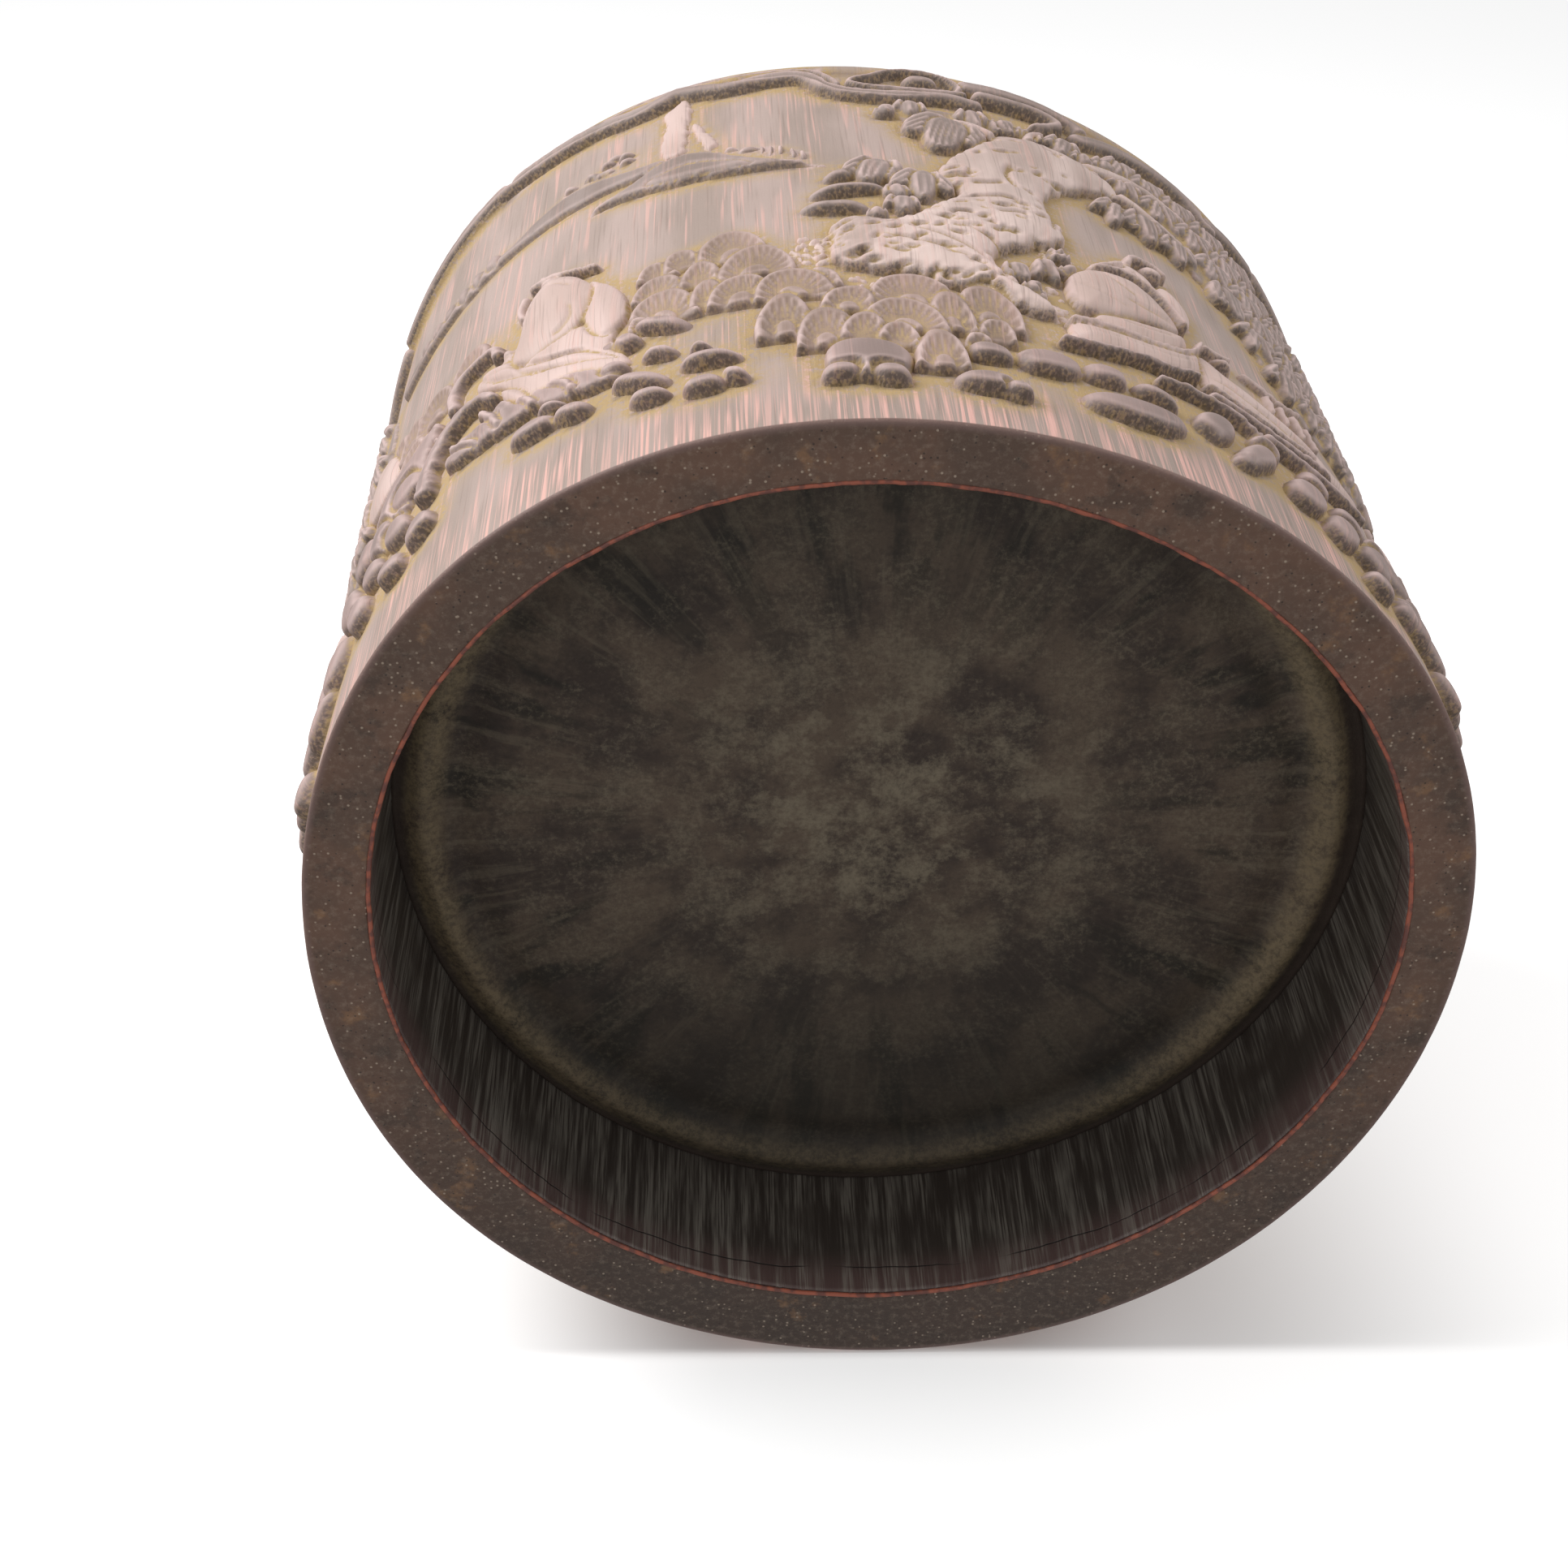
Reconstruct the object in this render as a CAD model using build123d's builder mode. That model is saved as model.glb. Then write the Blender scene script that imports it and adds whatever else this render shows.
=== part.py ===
from build123d import *
from math import cos, pi, radians, sin
import os

# A carved bamboo brush pot. It stands on its foot ring, with the mouth up.
# The origin is the centre of the foot ring's face, and the front is towards -Y.
# Driving dimensions are in millimetres, and bearings in degrees from the front towards +X.

# Outside of the culm
height = 111.0
foot_radius = 70.2  # mean radius of the cut foot ring
foot_band = 9.0  # plain band above the foot ring
band_slope = 3.0  # height of the slope from the plain band up to the carving
carving_rise = 2.4  # how far the carved zone stands out from the plain band
mouth_flare = 0.8  # extra radius at the mouth
rim_round = 1.2  # height of the rounded-off outer edge at the mouth

# Inside of the culm
bore_radius = 61.6  # mean radius of the foot recess
bore_shift = 1.6  # the bore lies this far towards the front, so the back wall is thicker
recess_depth = 22.5
diaphragm_thickness = 5.5
mouth_bore_radius = 64.6
rim_bevel = 0.8

# Shape of the partition's underside: a shallow dish inside a rounded ridge
dish_depth = 1.4
ridge_width = 5.0
ridge_gap = 0.8  # plain margin between the ridge and the recess wall
ridge_rise = 1.6

# Lacquer
film_thickness = 0.35
line_width = 0.6
line_height = 0.5
line_setback = 0.15  # the red line stands this far up from the foot's face

# A culm is never quite round. Each wave is (waves per turn, height, phase).
outer_waves = ((2, 0.55, -77), (3, 0.5, -139), (4, 0.4, -145))
bore_waves = ((2, 0.8, -131), (3, 0.55, -112))
outline_steps = 36

# Levels worked out from the sizes above
cavity_floor = recess_depth + diaphragm_thickness
carving_start = foot_band + band_slope
rim_start = height - rim_round


def outlinePoints(mean_radius, waves, shift):
    points = []
    for step in range(outline_steps):
        bearing = 2 * pi * step / outline_steps
        swell = sum(size * cos(count * bearing - radians(phase)) for count, size, phase in waves)
        radius = mean_radius + swell
        points.append((radius * sin(bearing), -radius * cos(bearing) - shift))
    return points


def outerOutline(mean_radius):
    return outlinePoints(mean_radius, outer_waves, 0)


def boreOutline(mean_radius):
    return outlinePoints(mean_radius, bore_waves, bore_shift)


def wavySection(level, points):
    """A flat face inside a closed wavy outline, at a height above the foot."""
    with BuildSketch(Plane.XY.offset(level)) as section:
        with BuildLine():
            Spline(*points, periodic=True)
        make_face()
    return section.sketch


outer_levels = (
    (0, foot_radius),
    (foot_band, foot_radius),
    (carving_start, foot_radius + carving_rise),
    (rim_start, foot_radius + carving_rise + mouth_flare),
    (height, foot_radius + carving_rise + mouth_flare - rim_bevel),
)

# Culm wall: the wavy outer tube, with the straight foot recess and the brush cavity cut out of it
with BuildPart() as culm_wall:
    loft([wavySection(level, outerOutline(radius)) for level, radius in outer_levels], ruled=True)
    extrude(wavySection(0, boreOutline(bore_radius)), amount=cavity_floor, mode=Mode.SUBTRACT)
    loft(
        [
            wavySection(cavity_floor, boreOutline(bore_radius)),
            wavySection(rim_start, boreOutline(mouth_bore_radius)),
            wavySection(height, boreOutline(mouth_bore_radius + rim_bevel)),
        ],
        ruled=True,
        mode=Mode.SUBTRACT,
    )
culm_wall.part.label = "culm_wall"

# Node diaphragm: the partition, with its dished underside and the rounded ridge along its edge
ridge_middle = bore_radius - bore_waves[0][1] - bore_waves[1][1] - ridge_gap - ridge_width / 2
dish_radius = ridge_middle - ridge_width / 2
dish_sphere = (dish_radius**2 + dish_depth**2) / (2 * dish_depth)
with BuildPart() as node_diaphragm:
    extrude(wavySection(recess_depth, boreOutline(bore_radius)), amount=diaphragm_thickness)
    with Locations((0, -bore_shift, recess_depth + dish_depth - dish_sphere)):
        Sphere(dish_sphere, mode=Mode.SUBTRACT)
    with BuildSketch(Plane.XZ.offset(bore_shift)):
        with Locations((ridge_middle, recess_depth)):
            Ellipse(ridge_width / 2, ridge_rise)
    revolve(axis=Axis((0, -bore_shift, 0), (0, 0, 1)))
node_diaphragm.part.label = "node_diaphragm"

# Recess lacquer: a thin skin on the side wall of the foot recess
skin_start = line_setback + line_height
with BuildPart() as recess_lacquer:
    extrude(wavySection(skin_start, boreOutline(bore_radius)), amount=recess_depth - skin_start)
    extrude(
        wavySection(skin_start, boreOutline(bore_radius - film_thickness)),
        amount=recess_depth - skin_start,
        mode=Mode.SUBTRACT,
    )
recess_lacquer.part.label = "recess_lacquer"

# Edge lacquer line: the red line along the inner arris of the foot
with BuildPart() as edge_lacquer_line:
    extrude(wavySection(line_setback, boreOutline(bore_radius)), amount=line_height)
    extrude(
        wavySection(line_setback, boreOutline(bore_radius - line_width)),
        amount=line_height,
        mode=Mode.SUBTRACT,
    )
edge_lacquer_line.part.label = "edge_lacquer_line"

os.makedirs("parts", exist_ok=True)
for piece in (culm_wall, node_diaphragm, recess_lacquer, edge_lacquer_line):
    export_step(piece.part, f"parts/{piece.part.label}.step")
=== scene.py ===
# Carved bamboo brush pot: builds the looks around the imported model.
# Relief is drawn as heights on an unrolled grid of the culm, then wrapped round it.
import math

import bpy
import numpy as np
from mathutils import Matrix, Vector


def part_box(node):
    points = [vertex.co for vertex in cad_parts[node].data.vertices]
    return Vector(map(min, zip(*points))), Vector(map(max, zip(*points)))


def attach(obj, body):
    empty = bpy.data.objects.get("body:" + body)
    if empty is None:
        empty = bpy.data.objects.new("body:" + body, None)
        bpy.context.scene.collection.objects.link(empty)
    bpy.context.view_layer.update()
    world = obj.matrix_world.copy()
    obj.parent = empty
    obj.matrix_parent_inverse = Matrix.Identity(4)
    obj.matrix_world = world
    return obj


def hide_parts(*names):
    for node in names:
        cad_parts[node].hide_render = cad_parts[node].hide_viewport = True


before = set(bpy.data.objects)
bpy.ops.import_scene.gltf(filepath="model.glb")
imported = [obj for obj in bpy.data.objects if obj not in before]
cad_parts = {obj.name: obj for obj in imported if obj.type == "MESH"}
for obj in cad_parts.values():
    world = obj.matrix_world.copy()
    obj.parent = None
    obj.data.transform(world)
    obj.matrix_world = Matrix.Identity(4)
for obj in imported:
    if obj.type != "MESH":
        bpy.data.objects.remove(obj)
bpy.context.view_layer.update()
mm = 0.001

# sizes from the frame
wallLow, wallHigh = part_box("culm_wall")
_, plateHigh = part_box("node_diaphragm")
lineLow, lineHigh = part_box("edge_lacquer_line")
carvingDepth = 2.75  # half the wall's width, less the mean radius of its foot
boreSwell = 0.54  # half the red line's width, less the mean radius of the bore
partitionThickness = 5.5

culm = {  # mm
    "height": wallHigh.z / mm,
    "footRadius": (wallHigh.x - wallLow.x) / 2 / mm - carvingDepth,
    "boreRadius": (lineHigh.x - lineLow.x) / 2 / mm - boreSwell,
    "boreShift": 1.6,  # the bore lies this far to the front
    "recessTop": plateHigh.z / mm - partitionThickness,
    "cavityFloor": plateHigh.z / mm,
    "mouthBore": 64.6,  # radius of the bore at the mouth
    "flare": 0.8,  # extra radius of the plain ground at the mouth
    "lip": 0.9,  # how far the mouth's plain lip stands out
    "rimRound": 1.4,  # rounding of the mouth's edges
    "arris": 0.45,  # worn rounding of the foot's edges
    "outerWaves": ((2, 0.55, -77), (3, 0.5, -139), (4, 0.4, -145)),  # waves per turn, height, phase
    "boreWaves": ((2, 0.8, -131), (3, 0.55, -112)),
    "surface": {"turns": 430, "ripple": 0.12, "rippleRound": 16.0, "rippleAlong": 60.0},
}


def waveSum(bearing, waves):
    return sum(size * np.cos(count * bearing - math.radians(phase)) for count, size, phase in waves)


def groundRadius(bearing, level):
    flare = culm["flare"] * np.clip(level / culm["height"], 0, 1)
    return culm["footRadius"] + flare + waveSum(bearing, culm["outerWaves"])


# the unrolled grid
grid = {
    "step": 0.28,
    "seed": 7,
    "soften": 0.14,  # mm over which cut edges are softened
    "relief": 0.76,  # overall depth of the carving, against the heights given below
    "sink": 0.6,  # how far a relief piece's border lies under the ground
    "backing": 1.3,  # how far its back lies under the ground
    "triangles": 190000,  # the most that one carving keeps
}
step = grid["step"]
columns = int(round(2 * math.pi * culm["footRadius"] / step))
rows = int(culm["height"] / step) + 1
levels = np.arange(rows) * step
bearings = np.radians(np.arange(columns) * 360 / columns - 180)
mmPerDegree = columns * step / 360


def blurred(field, sizeX, sizeZ=None):
    # Gaussian blur by Fourier transform: it wraps round the culm, and mirrors at foot and mouth
    sizeZ = sizeX if sizeZ is None else sizeZ
    tall = np.vstack([field, field[::-1]])
    waveZ = np.fft.fftfreq(tall.shape[0], step)[:, None]
    waveX = np.fft.rfftfreq(columns, step)[None, :]
    gain = np.exp(-2 * math.pi**2 * ((waveX * sizeX) ** 2 + (waveZ * sizeZ) ** 2))
    return np.fft.irfft2(np.fft.rfft2(tall) * gain, tall.shape)[:rows]


def noiseField(sizeX, sizeZ, seed):
    rough = np.random.default_rng(grid["seed"] + seed).standard_normal((rows, columns))
    field = blurred(rough, sizeX, sizeZ)
    return field / field.std()


lump = noiseField(2.2, 2.2, 1)
lumpToo = noiseField(2.2, 2.2, 2)
chatter = noiseField(0.3, 0.42, 3)  # marks of the gouge

layerNames = (  # back to front
    "mountains", "water", "foliage", "trunk", "fans", "banks", "figures", "boulders", "clouds")
layers = {name: np.zeros((rows, columns)) for name in layerNames}
group = {"base": 0.0, "flip": 1}  # the middle of the scene being drawn, and -1 where it is mirrored


def patch(bearing, level, reachX, reachZ):
    # The grid cells round a place, and their distances from it in mm
    columnMid = (group["base"] + group["flip"] * bearing + 180) / 360 * columns
    halfX, halfZ = int(reachX / step) + 2, int(reachZ / step) + 2
    rowMid = int(level / step)
    across = np.arange(int(columnMid) - halfX, int(columnMid) + halfX + 1)
    up = np.arange(max(0, rowMid - halfZ), min(rows, rowMid + halfZ + 1))
    dx, dz = np.meshgrid((across - columnMid) * step * group["flip"], up * step - level)
    return np.ix_(up, across % columns), dx, dz


def cover(layer, spot, height):
    # What is already there still shows a little at the new form's outline
    held = layers[layer][spot]
    layers[layer][spot] = np.where(height > 0, np.maximum(height, 0.5 * held), held)


def carveIn(layer, spot, depth):
    held = layers[layer][spot]
    layers[layer][spot] = np.where(held > 0, np.maximum(held - depth, 0.15), held)


def turned(dx, dz, tilt):
    c, s = math.cos(math.radians(tilt)), math.sin(math.radians(tilt))
    return dx * c + dz * s, dz * c - dx * s


def smoothPath(points, closed=False, perSpan=7):
    # Catmull-Rom curve through a few points
    p = np.array(points, float)
    p = np.vstack([p[-1], p, p[:2]]) if closed else np.vstack([2 * p[0] - p[1], p, 2 * p[-1] - p[-2]])
    t = np.linspace(0, 1, perSpan, endpoint=False)[:, None]
    spans = []
    for a, b, c, d in zip(p[:-3], p[1:-2], p[2:-1], p[3:]):
        spans.append(0.5 * (2 * b + (c - a) * t + (2 * a - 5 * b + 4 * c - d) * t**2
                            + (3 * b - a - 3 * c + d) * t**3))
    if not closed:
        spans.append(p[-2:-1])
    return np.vstack(spans)


def pathPatch(points, margin, closed=False):
    # A patch round a path given in (bearing, level), with the path in mm from the patch's middle
    path = smoothPath(points, closed)
    low, high = path.min(0), path.max(0)
    middle = (low + high) / 2
    reach = (high - low) / 2 * (mmPerDegree, 1) + margin
    spot, dx, dz = patch(middle[0], middle[1], reach[0], reach[1])
    return spot, dx, dz, (path - middle) * (mmPerDegree, 1)


def nearest(dx, dz, path, closed=False):
    # Distance to a path, and how far along it (0 to 1) the nearest place is
    ends = np.roll(path, -1, 0) if closed else path[1:]
    starts = path if closed else path[:-1]
    best = np.full(dx.shape, 1e9)
    along = np.zeros(dx.shape)
    for i, (a, b) in enumerate(zip(starts, ends)):
        leg = b - a
        t = np.clip(((dx - a[0]) * leg[0] + (dz - a[1]) * leg[1]) / max(leg @ leg, 1e-9), 0, 1)
        gap = np.hypot(dx - a[0] - t * leg[0], dz - a[1] - t * leg[1])
        closer = gap < best
        best = np.where(closer, gap, best)
        along = np.where(closer, (i + t) / len(starts), along)
    return best, along


def insideOf(dx, dz, path):
    inside = np.zeros(dx.shape, bool)
    for a, b in zip(path, np.roll(path, -1, 0)):
        crosses = (a[1] > dz) != (b[1] > dz)
        rise = b[1] - a[1] if abs(b[1] - a[1]) > 1e-9 else 1e-9
        inside ^= crosses & (dx < (b[0] - a[0]) * (dz - a[1]) / rise + a[0])
    return inside


# cuts of the carver
def side(depth, rounding=0.45):
    # Share of the full height at some depth in from an outline: a steep cut, rounded over at its top
    return np.sqrt(1 - (1 - np.clip(depth / rounding, 0, 1)) ** 2)


def form(layer, points, rise, crown=0.0, tip=0.0, rounding=0.7, ragged=0.1, cliff=0.4):
    # A raised form inside a closed outline. tip makes it higher at its foot than at its top,
    # and cliff is the share of its height that its steep border takes.
    spot, dx, dz, path = pathPatch(points, 2.5, closed=True)
    gap, _ = nearest(dx, dz, path, closed=True)
    depth = np.where(insideOf(dx, dz, path), gap, -gap) + ragged * chatter[spot]
    reach = max(path[:, 1].max(), 1)
    face = 1 + crown * (np.sqrt(np.clip(depth, 0, 9)) - 1) - tip * np.clip(dz / reach, -1, 1)
    swell = cliff * side(depth, 0.5) + (1 - cliff) * side(depth, rounding)
    cover(layer, spot, np.where(depth > 0, (rise * face + 0.05 * lump[spot]) * swell, 0))


def strand(layer, points, widths, rise, rounding=0.9, ragged=0.05):
    # A raised cord that goes from its first half-width to its last
    spot, dx, dz, path = pathPatch(points, max(widths) + 1.5)
    gap, along = nearest(dx, dz, path)
    depth = widths[0] + (widths[-1] - widths[0]) * along - gap + ragged * chatter[spot]
    crown = 0.75 + 0.25 * side(depth, max(widths))
    cover(layer, spot, np.where(depth > 0, rise * crown * side(depth, rounding), 0))


def groove(layer, points, width, depth):
    spot, dx, dz, path = pathPatch(points, 3 * width)
    gap, along = nearest(dx, dz, path)
    ends = np.clip(np.minimum(along, 1 - along) * 8, 0, 1)
    carveIn(layer, spot, depth * ends * np.exp(-((gap / width) ** 2)))


def boulder(layer, bearing, level, halfWidth, halfHeight, tilt=0, rise=2.4, square=2.6):
    # A stone: smooth above, its crest low down, then a steep undercut with the marks of the gouge
    spot, dx, dz = patch(bearing, level, halfWidth * 1.4 + halfHeight + 2, halfHeight * 1.4 + halfWidth + 2)
    x, z = turned(dx + 0.24 * lump[spot], dz + 0.24 * lumpToo[spot], tilt)
    u, v = x / halfWidth, z / halfHeight
    edge = (np.abs(u) ** square + np.abs(v) ** square) ** (1 / square)
    under = np.clip(0.2 - v, 0, 1)
    depth = (1 - edge) * min(halfWidth, halfHeight) + 0.05 * under * chatter[spot]
    dome = 0.14 + 0.86 * np.sqrt(np.clip(1 - 0.75 * u**2 - ((v + 0.34) / 1.34) ** 2, 0, 1))
    cover(layer, spot, np.where(depth > 0, (rise * dome + 0.06 * lump[spot]) * side(depth, 1.0), 0))


def fanStone(layer, bearing, top, width, height, tongue, rise):
    # One of the fan-shaped stones: a rim, a band of ribs that sinks inwards, often a small tongue inside
    spot, dx, dz = patch(bearing, top - height / 2, width / 2 + 2, height / 2 + 2)
    x = dx + 0.2 * lump[spot]
    z = dz + height / 2 + 0.2 * lumpToo[spot] + 0.05 * chatter[spot]
    u, v = x / (width / 2), z / height
    reach = (np.abs(u) ** 2.2 + np.clip(v, 0, 2) ** 2.2) ** (1 / 2.2)
    turn = np.arctan2(u, np.maximum(v, 0.01))
    rimWide = np.clip(0.7 / (width / 2), 0.08, 0.25)
    sunk = np.clip((1 - rimWide - reach) / 0.5, 0, 1)
    ribs = np.cos(turn * round(2.6 * width)) * np.clip(sunk * 8, 0, 1) * np.clip((0.8 - sunk) * 2.4, 0, 1)
    face = 1 - 0.5 * sunk * (2 - sunk) + 0.1 * ribs
    if tongue:
        face = np.where(reach < 0.36, 0.66 + 0.22 * side((0.36 - reach) * width / 2, 0.8), face)
    inside = (reach < 1) & (z > 0)
    depth = np.minimum((1 - reach) * min(width / 2, height), z)
    cover(layer, spot, np.where(inside, rise * face * side(depth, 0.8), 0))


def needleFan(layer, bearing, top, length, spread, lobes, lean, rise):
    # Bunches of needles: lobes that hang from one place, the middle ones in front, hatched along their length
    middle = (lobes - 1) / 2
    for i in sorted(range(lobes), key=lambda lobe: -abs(lobe - middle)):
        out = (i - middle) / max(middle, 1)
        far = length * (1 - 0.24 * abs(out))
        half = spread / lobes * 0.92
        spot, dx, dz = patch(bearing, top, length + spread, length + 3)
        x, z = turned(dx + 0.14 * lump[spot], -dz + 0.14 * lumpToo[spot], -lean - out * (16 + 6 * lobes))
        v = z / far
        swell = half * np.clip(1 - (2 * np.clip(v, 0, 1) - 1) ** 2, 0, 1) ** 0.42 * (1.05 - 0.25 * v)
        depth = swell - np.abs(x) + 0.03 * chatter[spot]
        streak = np.cos(x * 6.6 + 0.6 * lump[spot]) * np.clip(v * 2.4 - 0.5, 0, 1)
        face = (0.72 + 0.28 * np.clip(v / 0.3, 0, 1)) * (1 - 0.42 * np.clip(v - 0.3, 0, 1)) + 0.09 * streak
        inside = (depth > 0) & (v > 0) & (v < 1)
        cover(layer, spot, np.where(inside, rise * face * side(depth, 0.9), 0))


def pebbles(layer, bearing, level, reachX, reachZ, count, rise):
    # Moss and gravel: small grains strewn over an oval
    random = np.random.default_rng(grid["seed"] + count)
    for _ in range(count):
        turn, far = random.uniform(0, 2 * math.pi), math.sqrt(random.uniform(0, 1))
        place = (bearing + reachX * far * math.cos(turn), level + reachZ * far * math.sin(turn))
        boulder(layer, *place, random.uniform(0.4, 0.8), random.uniform(0.3, 0.5), random.uniform(-30, 30),
                rise * random.uniform(0.7, 1.1), 2)


# what is carved, in bearings (degrees) and levels (mm)
mountains = {
    "ranges": (  # outline, rise, how much higher its foot is than its top
        (((-62, 83.4), (-57, 85.4), (-52, 86.4), (-47, 85.6), (-44, 84), (-41, 84), (-38, 86.8),
          (-34, 88.2), (-30, 87), (-26, 85), (-22, 84), (-24, 81.4), (-28, 81.2), (-33, 81.4),
          (-38, 81.4), (-43.4, 81.2), (-48, 80.8), (-55, 80.4), (-62, 80.4)), 1.0, 0.2),
        (((-31, 76.2), (-27, 78.2), (-25, 80.6), (-23, 83), (-20, 84), (-17.4, 82.6), (-14.6, 79),
          (-11, 75.4), (-7, 73.4), (-4.4, 72.6), (-9, 73), (-14, 73), (-19, 73.6), (-24, 74.8),
          (-28, 75.8)), 1.25, 0.2),
        (((-24.4, 76.2), (-22, 78.6), (-19.4, 79.2), (-16, 77.4), (-12.6, 74), (-17, 73.8), (-22, 74.8)),
         1.55, 0.2)),
    "peaks": (-57, -43.8, 84, 6),
    "waterfall": (
        ((-20.2, 106), (-19.3, 103.6), (-19.6, 98), (-19.8, 90), (-20.4, 85), (-22.4, 85.4), (-22.8, 92),
         (-22.4, 98), (-22.5, 101.6), (-21.5, 103.6)),
        ((-18.9, 96), (-17.6, 91), (-16.4, 86), (-17.6, 84), (-18.8, 90), (-19.4, 94))),
    "huts": (
        (-11.9, 80.6, 0.35, 1.7), (-10.8, 80.2, 0.35, 1.9), (-9.6, 79.8, 0.4, 1.9),
        (-8.4, 78.2, 0.35, 2.2), (-7.6, 77.2, 0.4, 1.6), (-13.4, 81.2, 1.7, 0.4), (-15.4, 82.6, 1.0, 0.4)),
    "trees": (
        (-33.6, 90, 1.6, 0.4), (-31, 90.4, 1.4, 0.45), (-29.4, 92, 1.2, 0.6), (-28.6, 93, 1.6, 0.5),
        (-27.2, 91.6, 1.3, 0.9), (-27, 89.8, 1.4, 0.5), (-29.6, 89.6, 1.6, 0.4)),
}


def carveMountains():
    for points, rise, tip in mountains["ranges"]:
        form("mountains", points, rise, 0.06, tip, rounding=1.1, ragged=0.05)
    start, end, level, count = mountains["peaks"]
    for bearing in np.linspace(start, end, count):
        boulder("mountains", bearing, level, 1.5, 2.7, 10, 1.4, 2.1)
    for points in mountains["waterfall"]:
        form("water", points, 0.8, rounding=0.9, ragged=0.15)
    for bearing, level, halfWidth, halfHeight in mountains["huts"] + mountains["trees"]:
        boulder("mountains", bearing, level, halfWidth, halfHeight, 0, 1.5, 2.4)


foliage = {  # bearing, top, length, spread, lobes, lean
    "fans": (
        (5, 96.2, 5, 4.6, 3, -4), (2, 93.2, 3, 3, 2, 0), (11.6, 96.8, 6, 4.4, 3, 8),
        (15.2, 95.8, 5, 4, 2, 4), (9.3, 91.4, 12, 11, 3, -12), (18.4, 95.4, 4.6, 4.6, 3, 0),
        (22.6, 97, 6.4, 5.4, 3, -4), (25, 94.4, 5.4, 4.8, 3, 4), (28, 96, 6.4, 5.4, 3, 0),
        (30.8, 100, 8, 6.4, 4, -4), (34.4, 99, 8.6, 7, 4, 2), (38.6, 98.4, 8.6, 7, 4, 4),
        (43, 97, 9, 7.4, 4, 4), (47.4, 96, 9, 7.4, 4, 6), (30, 92.4, 7, 6, 4, 0),
        (35, 91.6, 9, 7.4, 4, 0), (39.6, 90, 9.4, 7.4, 4, 2), (44.4, 88.8, 9.4, 7.6, 4, 4),
        (49, 88, 9, 7.4, 4, 6), (53.6, 86, 9, 7.4, 4, 6), (41, 82, 9, 7.4, 4, 2),
        (46, 81, 9.4, 7.4, 4, 4), (51, 79.6, 9, 7.4, 4, 6), (27.4, 79.6, 8, 5.4, 3, -8),
        (30.8, 80.6, 9, 6.4, 3, 2), (34.8, 78, 7.6, 5.8, 3, 4), (41.6, 73.6, 9.6, 5.4, 2, -8),
        (46.6, 73.6, 9, 7, 4, 2), (51.4, 71.6, 9, 7, 4, 4), (56, 72, 9, 7, 4, 4),
        (44.6, 65.4, 9, 6.6, 4, -2), (49.4, 64, 9, 7, 4, 2), (54.4, 62.6, 9, 7, 4, 4),
        (47, 57, 8.4, 6.4, 3, -2), (52, 55.6, 8.6, 6.6, 4, 2), (57, 54, 8, 6.4, 4, 4),
        (0.4, 72.8, 8, 7.4, 3, -16), (4.8, 70, 9, 6.4, 3, -6), (1.8, 60.4, 4.6, 5, 3, 4),
        (1.4, 64, 3.4, 4, 3, 10), (-0.6, 55.4, 2.6, 4, 3, 0), (12.2, 44, 5.4, 3.4, 2, -2),
        (15.4, 48, 7, 2.6, 2, 2), (18, 47.6, 3, 3, 2, 0), (17.6, 52.6, 3.4, 4.6, 4, -6),
        (13.2, 39, 5, 3.2, 2, 12)),
    "masses": (
        (((29, 99), (38, 99.4), (47, 97), (55, 89), (60, 74), (59, 56), (54, 47), (47, 50), (43, 60),
          (41, 68), (36.6, 72), (35, 82), (29, 86), (26, 92)), 0.6),
        (((2, 95), (9, 97), (17, 96.6), (16, 93), (11, 89.6), (5, 90)), 0.5)),
    "long": (
        (-3.2, 63.4, 5, 1.3, 17, 2.1), (-4.8, 57.8, 4.4, 1.5, 3, 2.0), (-4, 68.4, 2.4, 1.2, 30, 1.7)),
    "rise": 2.3,
}


def carveFoliage():
    for points, rise in foliage["masses"]:
        form("foliage", points, rise, ragged=0.2)
    for bearing, level, halfWidth, halfHeight, tilt, rise in foliage["long"]:
        boulder("foliage", bearing, level, halfWidth, halfHeight, tilt, rise)
    for fan in foliage["fans"]:
        needleFan("foliage", *fan, foliage["rise"])


fans = {  # bearing, top, width, height, tongue inside
    "stones": (
        (-22.8, 49.8, 5.4, 5, 0), (-20.2, 51.4, 5.2, 6, 0), (-15.3, 53.9, 9, 9.4, 1),
        (-22.4, 45.2, 6.4, 6.4, 0), (-18.4, 46.2, 5.4, 7, 0), (-13, 48, 9.6, 9.4, 1), (-7, 39, 5.6, 6, 0),
        (-21.8, 40.2, 9, 9.4, 1), (-17.6, 40.6, 4.8, 8.4, 0), (-14.4, 39.5, 8.6, 8.6, 1),
        (-9.4, 39, 9.8, 8.4, 1), (8.4, 36, 8, 12.4, 1), (1.4, 36.4, 11.6, 9, 1), (-4.6, 32.9, 6.6, 7, 1),
        (4.9, 32.7, 6.2, 11, 1), (-10.4, 32.4, 7, 12.4, 1), (0.4, 29.5, 10.6, 8.6, 1),
        (8.8, 26.6, 4.8, 6, 0), (-6.6, 27.5, 7.8, 11.6, 1), (-3.2, 26, 5.6, 8, 0),
        (-0.4, 23.2, 5, 6.4, 0), (3.2, 21.7, 6.4, 10.4, 1), (6.9, 22, 3.6, 4, 0), (-58.6, 60, 6, 7, 0),
        (-55, 57.4, 7.4, 8.6, 1), (-44.8, 58.4, 7, 9, 1), (-50.4, 56.2, 9.4, 9.4, 1),
        (-54, 48.6, 7, 7, 0), (-51.4, 45, 7.4, 6.4, 1), (-56, 44.4, 6.4, 7, 0)),
    "rise": (1.15, 2.0),  # of the highest and of the lowest
}


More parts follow.
